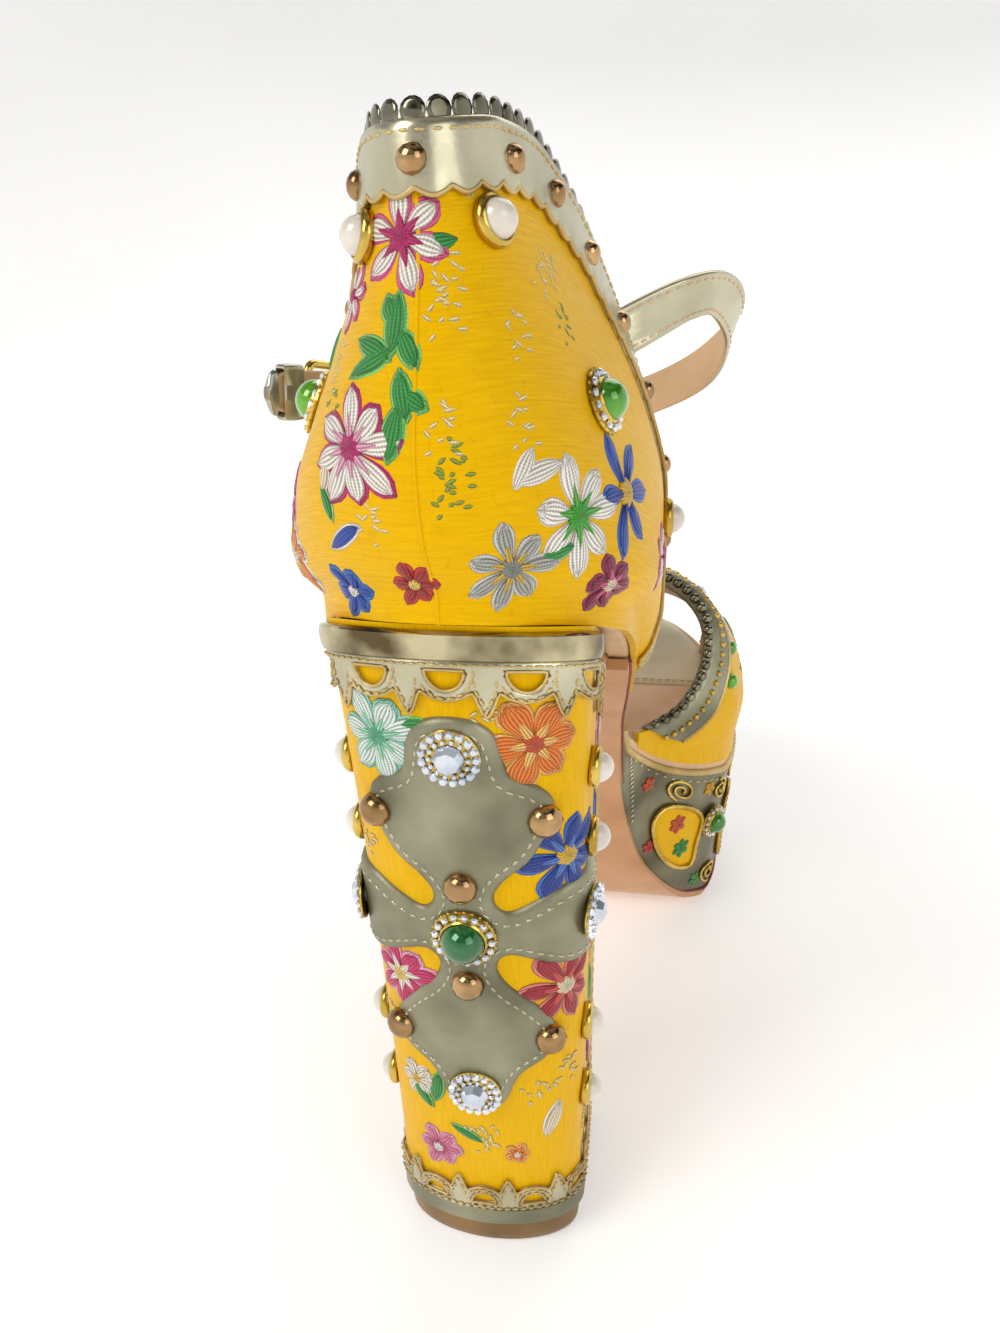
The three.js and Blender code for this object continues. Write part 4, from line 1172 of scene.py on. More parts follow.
@dataclass
class Chart:
    """A patch of a surface measured in mm round a place on it."""

    surface: Surface
    u: float
    v: float
    dv: float = 0.004
    angle: float = 0.0

    def put(self, flat: np.ndarray, height) -> np.ndarray:
        """Lay flat points on the surface.

        Args:
            flat: x along and y up, in mm.
            height: how far out each stands.

        Returns:
            The points.
        """
        a = math.radians(self.angle)
        x = flat[:, 0] * math.cos(a) - flat[:, 1] * math.sin(a)
        y = flat[:, 0] * math.sin(a) + flat[:, 1] * math.cos(a)
        e = 0.01
        along = np.linalg.norm(self.surface(self.u + e, self.v) - self.surface(self.u - e, self.v)) / (2 * e)
        lift = self.surface(self.u, self.v + self.dv) - self.surface(self.u, self.v - self.dv)
        way = unit(self.surface(self.u + e, self.v) - self.surface(self.u - e, self.v))
        skew = float(lift @ way) / (2 * self.dv)
        rise = math.sqrt(max(1e-9, float(lift @ lift) / (2 * self.dv) ** 2 - skew ** 2))
        v = self.v + y / rise
        u = self.u + (x - y * skew / rise) / along
        return raised(self.surface, u, v, height, dv=self.dv)


@dataclass
class Needle:
    """Embroiders petals, leaves and rings on charts, all in one mesh."""

    build: Build = field(default_factory=Build)

    def petal(self, chart: Chart, at: tuple[float, float], angle: float, length: float, width: float,
              tint: str, rise: float = 0.35, base: float = 0.05, blunt: float = 0.5) -> None:
        """Sew a petal.

        Args:
            chart: where the motif lies.
            at: the petal's root.
            angle: its way, in degrees.
            length: its length.
            width: its width.
            tint: its colour.
            rise: how high it swells.
            base: height of its foot.
            blunt: where along it is widest, from 0 to 1.
        """
        rows, cols = 8, 5
        t = np.linspace(0.0, 1.0, rows)
        half = width / 2 * np.sin(np.pi * t ** (math.log(0.5) / math.log(blunt))) ** 0.62
        half = np.maximum(half, 0.05 * width)
        across = np.linspace(-1, 1, cols)
        x, y = np.broadcast_arrays((t * length)[:, None], half[:, None] * across[None])
        a = math.radians(angle)
        flat = np.stack([at[0] + x * math.cos(a) - y * math.sin(a),
                         at[1] + x * math.sin(a) + y * math.cos(a)], -1)
        edge = (1 - across[None] ** 2) * np.sin(np.pi * np.clip(t, 0.04, 0.96))[:, None] ** 0.4
        top = chart.put(flat.reshape(-1, 2), (base + rise * edge + 0.12).ravel())
        low = chart.put(flat.reshape(-1, 2), base - 0.25)
        self.build.shell(top.reshape(rows, cols, 3), low.reshape(rows, cols, 3), shade(tint))

    def knot(self, chart: Chart, at: tuple[float, float], radius: float, tint: str,
             base: float = 0.3) -> None:
        """Sew a round knot."""
        rings = []
        for r, z in ((1.0, -0.2), (1.0, 0.1), (0.8, 0.34), (0.4, 0.48), (0.05, 0.5)):
            a = np.linspace(0, 2 * np.pi, 12, endpoint=False)
            flat = np.stack([at[0] + radius * r * np.cos(a), at[1] + radius * r * np.sin(a)], -1)
            rings.append(chart.put(flat, base + z))
        self.build.grid(np.array(rings), shade(tint))

    def flower(self, chart: Chart, radius: float, petals: int, tints: Sequence[str], centre: str,
               inner: str = "", fill: float = 1.0) -> None:
        """Sew a flower.

        Args:
            chart: where it lies.
            radius: its outer radius.
            petals: how many petals it has.
            tints: the petals' outline and fill.
            centre: the middle's colour.
            inner: colour of short strokes on the petals' roots, or empty.
            fill: width of a petal as a share of what fills the flower.
        """
        width = 1.32 * np.pi * radius / petals * fill
        for i in range(petals):
            angle = 360 * i / petals + 7 * math.sin(5.1 * i)
            reach = radius * (1 + 0.1 * math.sin(3.7 * i + petals))
            for k, tint in enumerate(tints):
                self.petal(chart, (0, 0), angle, reach - 0.75 * k, width - 1.3 * k, tint, 0.3, 0.05 + 0.2 * k,
                           0.66)
            if inner:
                self.petal(chart, (0, 0), angle, 0.55 * reach, 0.3 * width, inner, 0.25, 0.42, 0.4)
        self.knot(chart, (0, 0), 0.24 * radius, centre, 0.4)

    def leaf(self, chart: Chart, length: float, width: float, tints: Sequence[str]) -> None:
        """Sew a leaf with an outline and a fill, its root at the chart's place."""
        for k, tint in enumerate(tints):
            inset = 0.18 * width * k
            self.petal(chart, (inset, 0), 0, length - 2 * inset, width - 1.6 * inset, tint, 0.3,
                       0.05 + 0.2 * k, 0.5)

    def sprig(self, chart: Chart, length: float, tint: str, pairs: int = 4) -> None:
        """Sew a loose cluster of short woven dashes.

        Args:
            chart: where it lies.
            length: its length.
            tint: its colour.
            pairs: rows of dashes.
        """
        for i in range(pairs):
            for j in range(3):
                x = length * (i / pairs - 0.5) + 1.1 * math.sin(7 * i + 3.3 * j + 40 * chart.u)
                y = 1.5 * (j - 1) + 0.9 * math.cos(5 * i + 2.1 * j + 31 * chart.u)
                self.petal(chart, (x, y), 90 + 40 * math.sin(3 * i + j), 1.5 + 0.5 * math.sin(9 * i + 5 * j),
                           0.85, tint, 0.12, 0.0)


def side_wall(side: int) -> Surface:
    """Give the platform's wall on one side.

    Args:
        side: 1 for the inner side, -1 for the outer.

    Returns:
        A surface of y and of the share of the wall's height.
    """
    def wall(y: np.ndarray, high: np.ndarray) -> np.ndarray:
        """Give points of the wall, with its slight swell."""
        y, high = np.broadcast_arrays(np.asarray(y, float), np.asarray(high, float))
        x = FORM.edge(side, y) - side * (1 - high) * FORM.draw_in(y)
        foot, head = FORM.under(y) + FORM.outsole + FORM.fit, FORM.seat_under(y)
        return points(x, y, lerp(foot, head, high))
    return wall


@dataclass
class Underfoot:
    """The outsole, the covered platform, the board and the sock."""

    clothes: Wardrobe
    outsole_back: float = 29.6
    platform_back: float = 66.7
    sock_back: float = -21.8
    sock_seam: float = 159.5
    stitch: float = 2.6
    rope: float = 0.8
    windows: tuple = (((96, 10), (94, 20), (97, 31), (104, 34), (109, 30), (108, 20), (107, 12), (101, 8)),
                      ((123, 10), (122, 20), (124, 31), (131, 34), (139, 30), (141, 20), (136, 11), (129, 8)))
    scrolls: tuple = ((101, 40, 180, 4.6), (116, 40, 40, 4.0), (116, 7, 200, 4.2),
                      (147, 26, 0, 4.8), (148, 14, 120, 4.4), (131, 41, 70, 4.4), (157, 22, 30, 4.4),
                      (166, 26, 140, 3.8))
    sewn_bits: tuple = ((101, 26, "d8541c"), (103, 17, "2f9a3e"), (131, 27, "c21f6a"), (132, 18, "2f9a3e"),
                        (136, 22, "f6f1e8"))
    bits: tuple = ((91, 36, "d8541c"), (111, 41, "e8b21a"), (94, 7, "c8402c"), (110, 5, "3f9a3a"),
                   (146, 36, "d8541c"), (143, 6, "e8b21a"), (156, 33, "c21f6a"), (158, 11, "3f9a3a"),
                   (166, 15, "d8541c"))

    def ys(self, start: float, end: float, count: int = 120) -> np.ndarray:
        """Space y finely at the toe."""
        return lerp(start, end, np.sin(np.linspace(0, np.pi / 2, count)))

    def slab(self, start: float, end: float, head: Callable, foot: Callable, draw_in: Callable,
             corner: float) -> np.ndarray:
        """Loft closed sections along the sole.

        Args:
            start: y of its back.
            end: y of its front.
            head: height of its top at a y.
            foot: height of its underside at a y.
            draw_in: how far its foot stands inside its top at a y.
            corner: radius of its edges.

        Returns:
            Rings of points by y.
        """
        rings = []
        for y in self.ys(start, end):
            wide = {s: float(FORM.edge(s, y)) for s in (1, -1)}
            low, high = float(foot(y)), float(head(y))
            c = min(corner, 0.45 * (high - low), 0.2 * (wide[1] - wide[-1]))
            ring = []
            for s in (1, -1):
                wall = []
                for a in np.linspace(-90, 0, 5):
                    wall.append((c * (1 - math.cos(math.radians(a))),
                                 low + c + c * math.sin(math.radians(a))))
                for t in (0.25, 0.5, 0.75):
                    wall.append((0.0, lerp(low + c, high - c, t)))
                for a in np.linspace(0, 90, 5):
                    wall.append((c * (1 - math.cos(math.radians(a))),
                                 high - c + c * math.sin(math.radians(a))))
                side = [(wide[s] - s * (d + (high - z) / (high - low) * float(draw_in(y))), y, z) for d,
                        z in wall]
                ring += side if s > 0 else side[::-1]
                if s > 0:
                    ring += [(x, y, high) for x in np.linspace(side[-1][0], lerp(wide[1], wide[-1], 0.5),
                                                               5)[1:]]
            rings.append(ring)
        return np.array(rings)

    def sole(self) -> None:
        """Make the outsole and the painted line along its edge."""
        ys = self.ys(self.outsole_back, FORM.toe - 0.5)
        slope = FORM.under(ys + 0.5) - FORM.under(ys - 0.5)
        normal = np.stack([-slope, np.ones_like(slope)], 1) / np.hypot(1, slope)[:, None]
        def sheet(out: float, inset: float) -> np.ndarray:
            """Lay a sheet along the underside."""
            t = np.linspace(0, 1, 13)[None]
            inner = (FORM.edge(1, ys) - FORM.draw_in(ys) - inset)[:, None]
            outer = (FORM.edge(-1, ys) + FORM.draw_in(ys) + inset)[:, None]
            x = lerp(outer, inner, t)
            return points(x, (ys + normal[:, 0] * out)[:, None],
                          (FORM.under(ys) + normal[:, 1] * out)[:, None])
        build = Build()
        build.shell(sheet(0.0, 0.5), sheet(FORM.outsole, 0.0))
        self.clothes.piece(build, "outsole_leather", "tan_leather", "outsole")
        edge = Build()
        for col in (0, -1):
            path = sheet(FORM.outsole - 0.3, -0.1)[:, col]
            edge.cord(even_path(path, 1.5), 0.42, UP)
        self.clothes.piece(edge, "sole_edge_line", "edge_paint")

    def block(self) -> None:
        """Make the platform, the board and the sock."""
        build = Build()
        head = FORM.seat_under
        foot = lambda y: FORM.under(y) + FORM.outsole + FORM.fit
        build.grid(self.slab(self.platform_back, FORM.toe - 0.5, head, foot, FORM.draw_in, 1.2))
        self.clothes.piece(build, "platform_cover", "pewter_leather", "platform")
        board = Build()
        none = lambda y: 0.0
        board.grid(self.slab(FORM.back, FORM.toe, FORM.top, lambda y: FORM.top(y) - FORM.board, none, 1.4))
        self.clothes.piece(board, "board_cover", "nude_lining", "board")
        sock = Build()
        for start, end, slot in ((self.sock_back, self.sock_seam, 0),
                                 (self.sock_seam + 0.8, FORM.toe - 3.8, 1)):
            ys = np.linspace(start, end, 100 if slot == 0 else 30)
            t = np.linspace(0, 1, 21)
            inner, outer = FORM.edge(1, ys) - 3.8, FORM.edge(-1, ys) + 3.8
            x = lerp(outer[:, None], inner[:, None], t[None])
            edge = np.minimum(np.minimum(t, 1 - t)[None] * (inner - outer)[:, None],
                              np.minimum(ys - start, end - ys)[:, None] + 0.2)
            puff = 0.9 * (1 - np.exp(-np.maximum(edge, 0) / 2.2))
            base = FORM.top(ys)[:, None] + FORM.fit
            sock.shell(points(x, ys[:, None], base + FORM.insole - 0.6 + puff), points(x, ys[:, None], base),
                       slot=slot)
        materials = [self.clothes["nude_lining"], self.clothes["sock_leather"]]
        self.clothes.fit(sock.finish("padded_sock", materials), "sock_leather", "insole")
        line = self.sock_seam + 2.1
        left, right = float(FORM.edge(-1, line)) + 6, float(FORM.edge(1, line)) - 6
        seam = [(Seat.level(np.array([x, line, float(FORM.top(line)) + 2.2])), 1.0)
                for x in np.arange(left, right, self.stitch)]
        self.clothes.row(Small.STITCH, "sock_stitches", "sock_leather", seam)

    def edging(self) -> None:
        """Make the platform's piping, sewn lines, brocade windows with their rope, scrolls and embroidery."""
        piping, rope, window = Build(), Build(), Build()
        stitches: list[tuple[Seat, float]] = []
        ys = np.linspace(70.0, FORM.toe, 160)
        loops = [points(FORM.edge(1, ys), ys, FORM.top(ys) - FORM.board - 0.15),
                 points(FORM.edge(-1, ys), ys, FORM.top(ys) - FORM.board - 0.15)[::-1]]
        path = even_path(np.concatenate(loops), 0.5)
        piping.cord(path, 1.25, UP, 10, 0.22, 2.6)
        bits = Needle()
        for side in (1, -1):
            wall = side_wall(side)
            face: Surface = (lambda a, b, w=wall, s=side: w(s * a * 100.0, b))
            tall = float(FORM.seat_under(113) - FORM.under(113))
            put = lambda p, height, f=face, t=tall: raised(f, p[:, 0] / 100.0, p[:, 1] / t, height)
            for rows in self.windows:
                flat = round_outline([(side * y, z) for y, z in rows], 6)
                Patch(flat, thick=0.5, round_edge=1.0, step=1.6).lay(window, put, base=0.1)
                ring = even_path(put(np.concatenate([flat, flat[:1]]), np.full(len(flat) + 1, 0.8)), 0.5)
                rope.cord(ring, self.rope, np.array([side, 0, 0.0]), 8, 0.25, 2.4)
            for y0, z0, turn, size in self.scrolls:
                t = np.linspace(0.15, 1, 60)
                a = math.radians(turn) + 4.4 * np.pi * t
                flat = np.stack([side * (y0 + size * t * np.cos(a)), z0 + size * t * np.sin(a)], 1)
                line = even_path(put(flat, np.full(60, 0.45)), 0.5)
                rope.cord(line, 0.5, np.array([side, 0, 0.0]), 8, 0.2, 2.0)
            for rows, petals, long, wide, base in ((self.bits, 5, 2.6, 1.9, 0.1),
                                                   (self.sewn_bits, 6, 3.4, 2.2, 0.66)):
                for y0, z0, tint in rows:
                    chart = Chart(face, side * y0 / 100.0, z0 / tall, 0.02)
                    for k in range(petals):
                        bits.petal(chart, (0, 0), 360 * k / petals, long, wide, tint, 0.4, base, 0.6)
            for y in np.arange(80, 176, self.stitch):
                stitches.append((Seat.on(face, side * y / 100.0, 0.93, 0.05), 1.0))
            for high in np.arange(0.1, 0.88, self.stitch / tall):
                near = Seat.on(face, side * (82 + 6 * (1 - high)) / 100.0, high, 0.05)
                stitches.append((near.turned(90), 1.0))
        self.clothes.piece(bits.build, "platform_embroidery", "satin_thread", angle=70)
        self.clothes.piece(piping, "platform_piping", "piping_cord", angle=80)
        self.clothes.piece(rope, "window_rope", "gilt_rim", angle=80)
        self.clothes.piece(window, "platform_window", "satin_brocade")
        self.clothes.row(Small.STITCH, "platform_stitches", "pale_gold_leather", stitches)

    def make(self) -> None:
        """Make everything underfoot."""
        self.sole()
        self.block()
        self.edging()


@dataclass
class Counter:
    """The brocade counter with its lining, edge band, scallops and studs."""

    clothes: Wardrobe
    columns: int = 193
    rows: int = 60
    foot: float = -5.0
    wave: float = 0.8
    wave_length: float = 4.6
    disc: float = 1.9
    disc_step: float = 3.75

    def us(self) -> np.ndarray:
        """Space columns round the counter."""
        return np.linspace(-1, 1, self.columns)

    def face(self, out: float, low: float, under_edge: float) -> np.ndarray:
        """Give a grid of the wall.

        Args:
            out: how far it stands out of the outer face.
            low: height of its foot above the sole.
            under_edge: how far its top stays below the edge.

        Returns:
            Points by column and height.
        """
        us = self.us()[:, None]
        top = COUNTER.top(us) - under_edge / COUNTER.height
        h = lerp(low / COUNTER.height, top, np.linspace(0, 1, self.rows)[None] ** 1.15)
        return raised(COUNTER.at, us, h, out)

    def wall(self) -> None:
        """Make the brocade and the lining."""
        cloth = Build()
        cloth.shell(self.face(0.15, self.foot, 0.6), self.face(-1.1, self.foot, 0.6))
        self.clothes.piece(cloth, "counter_brocade", "satin_brocade", "counter")
        lining = Build()
        lining.shell(self.face(-1.2, 0.4, 0.6), self.face(-COUNTER.wall, 0.4, 0.6))
        self.clothes.piece(lining, "counter_lining", "nude_lining")
        seam = Build()
        h = np.linspace(self.foot / COUNTER.height, 0.9, 90)
        path = raised(COUNTER.at, 0.0, h, 0.05)
        seam.cord(path, 0.34, np.array([0, -1.0, 0.2]))
        self.clothes.piece(seam, "back_seam", "satin_brocade")

    def edge_run(self) -> np.ndarray:
        """Give the length along the top edge at each column."""
        us = self.us()
        edge = COUNTER.at(us, COUNTER.top(us))
        run = run_of(edge)
        return run - np.interp(0, us, run)

    def band(self) -> None:
        """Make the binding over the edge, its wavy foot and the cord along that foot."""
        us, run = self.us(), self.edge_run()
        fine = np.linspace(run[0], run[-1], 520)
        u = np.interp(fine, run, us)
        top = COUNTER.top(u)
        wave = np.abs(np.sin(np.pi * fine / self.wave_length))
        low = COUNTER.edge_drop(u, COUNTER.band + 1.0) - (1 - wave) * self.wave * 1.6 / COUNTER.height
        mm = 1 / COUNTER.height
        ring = []
        for out, t in ((0.2, 0.0), (1.15, 0.0), (1.3, 0.12), (1.35, 0.5), (1.35, 0.9)):
            ring.append(raised(COUNTER.at, u, top - low * (1 - t), out))
        for a in np.linspace(15, 165, 8):
            out = lerp(1.35, -COUNTER.wall - 0.9, 0.5 - 0.5 * math.cos(math.radians(a)))
            ring.append(raised(COUNTER.at, u, top + 1.1 * mm * math.sin(math.radians(a)), out))
        for drop, out in ((1.0, -3.5), (4.2, -3.5), (4.5, -3.2), (4.5, -2.7), (2.0, -1.3), (0.8, 0.0)):
            ring.append(raised(COUNTER.at, u, top - drop * mm, out))
        build = Build()
        build.grid(np.stack(ring, 1))
        self.clothes.piece(build, "edge_binding", "pale_gold_leather", "topline_band", angle=50)
        cord = Build()
        path = even_path(raised(COUNTER.at, u, top - low - 0.3 * mm, 0.9), 0.45)
        cord.cord(path, 0.42, UP)
        self.clothes.piece(cord, "binding_cord", "piping_cord", angle=80)

    def edge_seats(self, start: float, step: float, drop: float, out: float) -> list[Seat]:
        """Give seats along the top edge.

        Args:
            start: length along the edge from the back seam.
            step: length between two seats.
            drop: how far below the edge they sit.
            out: how far out they stand.

        Returns:
            The seats.
        """
        us, run = self.us(), self.edge_run()
        places = [*np.arange(start, run[-1] - 1, step), *-np.arange(start if start else step, -run[0] - 1,
                                                                    step)]
        seats = []
        for s in places:
            u = float(np.interp(s, run, us))
            seat = Seat.on(COUNTER.at, u, float(COUNTER.top(u)), out)
            ends = np.array([u - 0.004, u + 0.004])
            back, front = COUNTER.at(ends, COUNTER.top(ends))
            ahead = unit(front - back)
            away = unit(np.cross(seat.out, ahead))
            seats.append(Seat(seat.point - away * drop, ahead, away, seat.out))
        return seats

    def trim(self) -> None:
        """Make the scallop discs, the studs and the stitches along the binding."""
        discs = [(s, self.disc) for s in self.edge_seats(0.0, self.disc_step, -1.7, 0.2)]
        # the scallop discs are metal; their dark tone is painted shade
        self.clothes.row(Small.DISC, "edge_scallops", "shade_painted_mirror", discs, spread=0.03)
        studs = [(s, 2.15) for s in self.edge_seats(0.0, 17.2, 4.6, 1.3)]
        self.clothes.row(Small.DOME, "band_studs", "rose_stud", studs)
        sewn = [(s, 0.8) for s in self.edge_seats(0.9, 2.0, 1.0, 1.35)]
        self.clothes.row(Small.STITCH, "binding_stitches", "piping_cord", sewn)

    def motifs(self) -> None:
        """Embroider the flowers, leaves and sprigs."""
        needle = Needle()
        chart = lambda u, h, angle=0.0: Chart(COUNTER.at, u, h, angle=angle)
        white, pink, magenta, blue, green = "f6f1e8", "e0568e", "c2106a", "1f49b4", "2f9a3e"
        needle.flower(chart(-0.075, 0.79, 40), 7.8, 6, (pink, white), magenta, magenta, 0.8)
        needle.leaf(chart(0.0, 0.765, 20), 5.0, 2.6, (green,))
        for u, h, a, long in ((-0.075, 0.68, -95, 9), (-0.07, 0.6, -60, 7), (-0.08, 0.56, -150, 8.5),
                              (-0.09, 0.53, 150, 8), (-0.06, 0.52, -80, 8), (-0.05, 0.47, -30, 5),
                              (-0.055, 0.45, -100, 9), (-0.085, 0.6, 110, 5)):
            needle.leaf(chart(u, h, a), long, 3.8, LEAF)
        needle.flower(chart(-0.19, 0.345, 10), 9.4, 8, (magenta, white), magenta, "e9a7c4")
        needle.flower(chart(-0.32, 0.7, 0), 5.2, 6, (pink, white), magenta, "", 0.8)
        needle.leaf(chart(-0.16, 0.17, 210), 8.5, 3.2, (white, blue))
        needle.leaf(chart(-0.25, 0.17, 100), 6.5, 3.0, ("9fd48a", green))
        needle.leaf(chart(-0.29, 0.24, 60), 6.0, 3.0, (white, "f3e6c8"))
        needle.leaf(chart(0.235, 0.265, 25), 9.0, 3.4, (white,))
        needle.leaf(chart(0.235, 0.25, 70), 7.0, 3.0, (white,))
        needle.flower(chart(0.385, 0.2, 20), 9.4, 7, (white, "fdfaf2"), "35b21e", "58b83e", 0.8)
        needle.leaf(chart(0.36, 0.13, 200), 7.0, 3.2, ("9fd48a", green))
        needle.flower(chart(0.56, 0.29, 15), 10.2, 6, ("3d6fd0", blue), "f2c21c", "0f2f8a", 0.62)
        needle.flower(chart(0.19, 0.07, 12), 7.6, 7, ("cfcfc8", "aeb2ad"), "8f948c", "d9b23a", 0.8)
        needle.flower(chart(0.44, 0.04), 6.0, 6, ("a0305e", "8f1240"), "f2e6c0", "d8668e")
        needle.flower(chart(-0.045, 0.03), 4.2, 6, ("c8342c", "a82a22"), "f6d36a")
        needle.flower(chart(-0.25, 0.0), 5.0, 6, ("2f6fc4", blue), white)
        needle.flower(chart(-0.6, 0.27, 30), 10.0, 8, ("f08cc0", "d01a7c"), white, "8f1058")
        needle.leaf(chart(-0.5, 0.7, -70), 9.0, 4.0, LEAF)
        needle.flower(chart(-0.62, 0.72, 0), 6.0, 7, (white, "f6a23a"), magenta, white)
        needle.flower(chart(-0.48, 0.1, 0), 7.0, 7, (white, "f08a24"), white, "f6c46a")
        needle.leaf(chart(-0.72, 0.5, -40), 8.0, 3.8, LEAF)
        needle.flower(chart(-0.82, 0.18, 30), 6.2, 6, ("3d6fd0", blue), white, "", 0.7)
        needle.flower(chart(0.72, 0.17), 6.0, 7, (pink, white), magenta, magenta)
        needle.leaf(chart(0.68, 0.62, 200), 7.5, 3.4, LEAF)
        needle.flower(chart(0.83, 0.24), 4.8, 6, (white, "f6a23a"), magenta)
        for u, h, a in ((-0.338, 0.55, 80), (0.135, 0.72, 80), (0.1, 0.66, 100), (0.458, 0.8, 70),
                        (0.103, 0.41, 80), (0.2, 0.92, 10), (0.5, 0.83, 50), (0.33, 0.62, 90),
                        (0.3, 0.42, 100), (-0.12, 0.2, 90)):
            needle.sprig(chart(u, h, a), 7.0, STRAW)
        for u, h, a in ((0.5, 0.7, 80), (0.12, 0.33, 90), (0.09, 0.27, 100), (-0.3, 0.45, 90)):
            needle.sprig(chart(u, h, a), 6.0, MOSS)
        self.clothes.piece(needle.build, "counter_embroidery", "satin_thread", angle=70)

    def make(self) -> None:
        """Make the whole counter."""
        self.wall()
        self.band()
        self.trim()
        self.motifs()


@dataclass
class Vamp:
    """The brocade vamp with its lining, throat binding and toe piping."""

    clothes: Wardrobe
    turns: int = 97
    ranks: int = 40

    def grid(self, out: float, rear: float = 0.0, front: float = 0.0) -> np.ndarray:
        """Give a grid of the vamp.

        Args:
            out: how far it stands out of the outer face.
            rear: how far its back edge is drawn forward.
            front: how far its front edge is drawn back.

        Returns:
            Points by turn and y.
        """
        turn = lerp(0.004, 0.996, 0.5 - 0.5 * np.cos(np.pi * np.linspace(0, 1, self.turns)))[:, None]
        y = lerp(VAMP.throat_y(turn) + rear, VAMP.front_y(turn) - front, np.linspace(0, 1, self.ranks)[None])
        return self.lifted(turn, y, out)

    def lifted(self, turn, y, out) -> np.ndarray:
        """Move points of the vamp out, and never downwards."""
        turn, y, out = np.broadcast_arrays(turn, y, np.asarray(out, float))
        across = VAMP.at(turn + 0.0012, y) - VAMP.at(turn - 0.0012, y)
        ahead = VAMP.at(turn, y + 1) - VAMP.at(turn, y - 1)
        normal = unit(np.cross(across, ahead))
        normal[..., 2] = np.maximum(normal[..., 2], 0.02)
        return VAMP.at(turn, y) + unit(normal) * out[..., None]

    def wall(self) -> None:
        """Make the brocade, drawn down over the board's edge, and the lining."""
        outer, inner = self.grid(0.1), self.grid(-1.0)
        def skirt(cloud: np.ndarray, draw_in: float, drop: float = 4.6) -> np.ndarray:
            """Add rows that reach down to the board or over its edge."""
            low, high = cloud[0] + np.array([draw_in, 0, -drop]), cloud[-1] + np.array([-draw_in, 0, -drop])
            mid_low, mid_high = lerp(cloud[0], low, 0.5), lerp(cloud[-1], high, 0.5)
            return np.concatenate([low[None], mid_low[None], cloud, mid_high[None], high[None]])
        cloth = Build()
        cloth.shell(skirt(outer, 0.1), skirt(inner, 0.6))
        self.clothes.piece(cloth, "vamp_brocade", "satin_brocade", "vamp")
        lining = Build()
        lining.shell(skirt(self.grid(-1.1), 0.0, 1.9), skirt(self.grid(-VAMP.wall), 0.0, 1.9))
        self.clothes.piece(lining, "vamp_lining", "nude_lining")

    def bindings(self) -> None:
        """Make the throat's binding with its cord and beads, and the piping at the open toe."""
        turn = lerp(0.012, 0.988, 0.5 - 0.5 * np.cos(np.pi * np.linspace(0, 1, 220)))
        width = COUNTER.band * lerp(0.72, 1.15, np.abs(2 * turn - 1) ** 4)
        rear = VAMP.throat_y(turn)
        ring = [self.lifted(turn, rear + width * t, out) for t, out in
                ((1.0, 0.2), (1.0, 1.1), (0.9, 1.35), (0.5, 1.4), (0.12, 1.4), (0.0, 1.1), (-0.08, 0.2),
                 (-0.1, -1.2), (-0.06, -2.6), (0.05, -3.3), (0.35, -3.3), (0.38, -2.9), (0.2, -1.2))]
        build = Build()
        build.grid(np.stack(ring, 1))
        self.clothes.piece(build, "throat_binding", "brushed_leather", "throat_band", angle=50)
        cords = Build()
        path = even_path(self.lifted(turn, rear + width, 0.95), 0.45)
        cords.cord(path, 0.75, np.array([0, 0.2, 1.0]), 8, 0.25, 2.2)
        front = even_path(self.lifted(turn, VAMP.front_y(turn) + 0.2, -1.0), 0.45)
        cords.cord(front, 1.5, np.array([0, 0.2, 1.0]), 10, 0.2, 3.0)
        self.clothes.piece(cords, "vamp_cords", "piping_cord", angle=80)
        seats, small = [], []
        spine = self.lifted(turn, rear - 0.6, -0.2)
        spine = even_path(spine, 3.5)
        for p, q in zip(spine[:-1], spine[1:]):
            way = unit(q - p)
            out = unit(np.cross(way, np.array([0, -1.0, 0.35])))
            out = out if out[2] > 0 or abs(out[2]) < 0.2 else -out
            seats.append((Seat(p, way, np.cross(out, way), out), 1.6))
        for p in even_path(self.lifted(turn, rear + 0.45 * width, 1.35), 2.9):
            small.append((Seat.level(p), 1.0))
        clear, green = [], []
        for t in (0.1, 0.16, 0.3, 0.37, 0.63, 0.7, 0.84, 0.9):
            y = float(VAMP.throat_y(t)) + COUNTER.band + 2.4
            seat = Seat.on(VAMP.at, t, y, 0.3, 0.8)
            (clear if 0.25 < t < 0.75 else green).append((seat, 2.3))
        self.clothes.row(Small.CUT, "throat_crystals", "cut_crystal", clear)
        self.clothes.row(Small.DOME, "throat_stones", "green_stone", green)
        # the throat scallops are metal; their dark tone is painted shade
        self.clothes.row(Small.BALL, "throat_scallops", "shade_painted_mirror", seats)
        self.clothes.row(Small.BALL, "throat_beads", "gilt_rim", small)

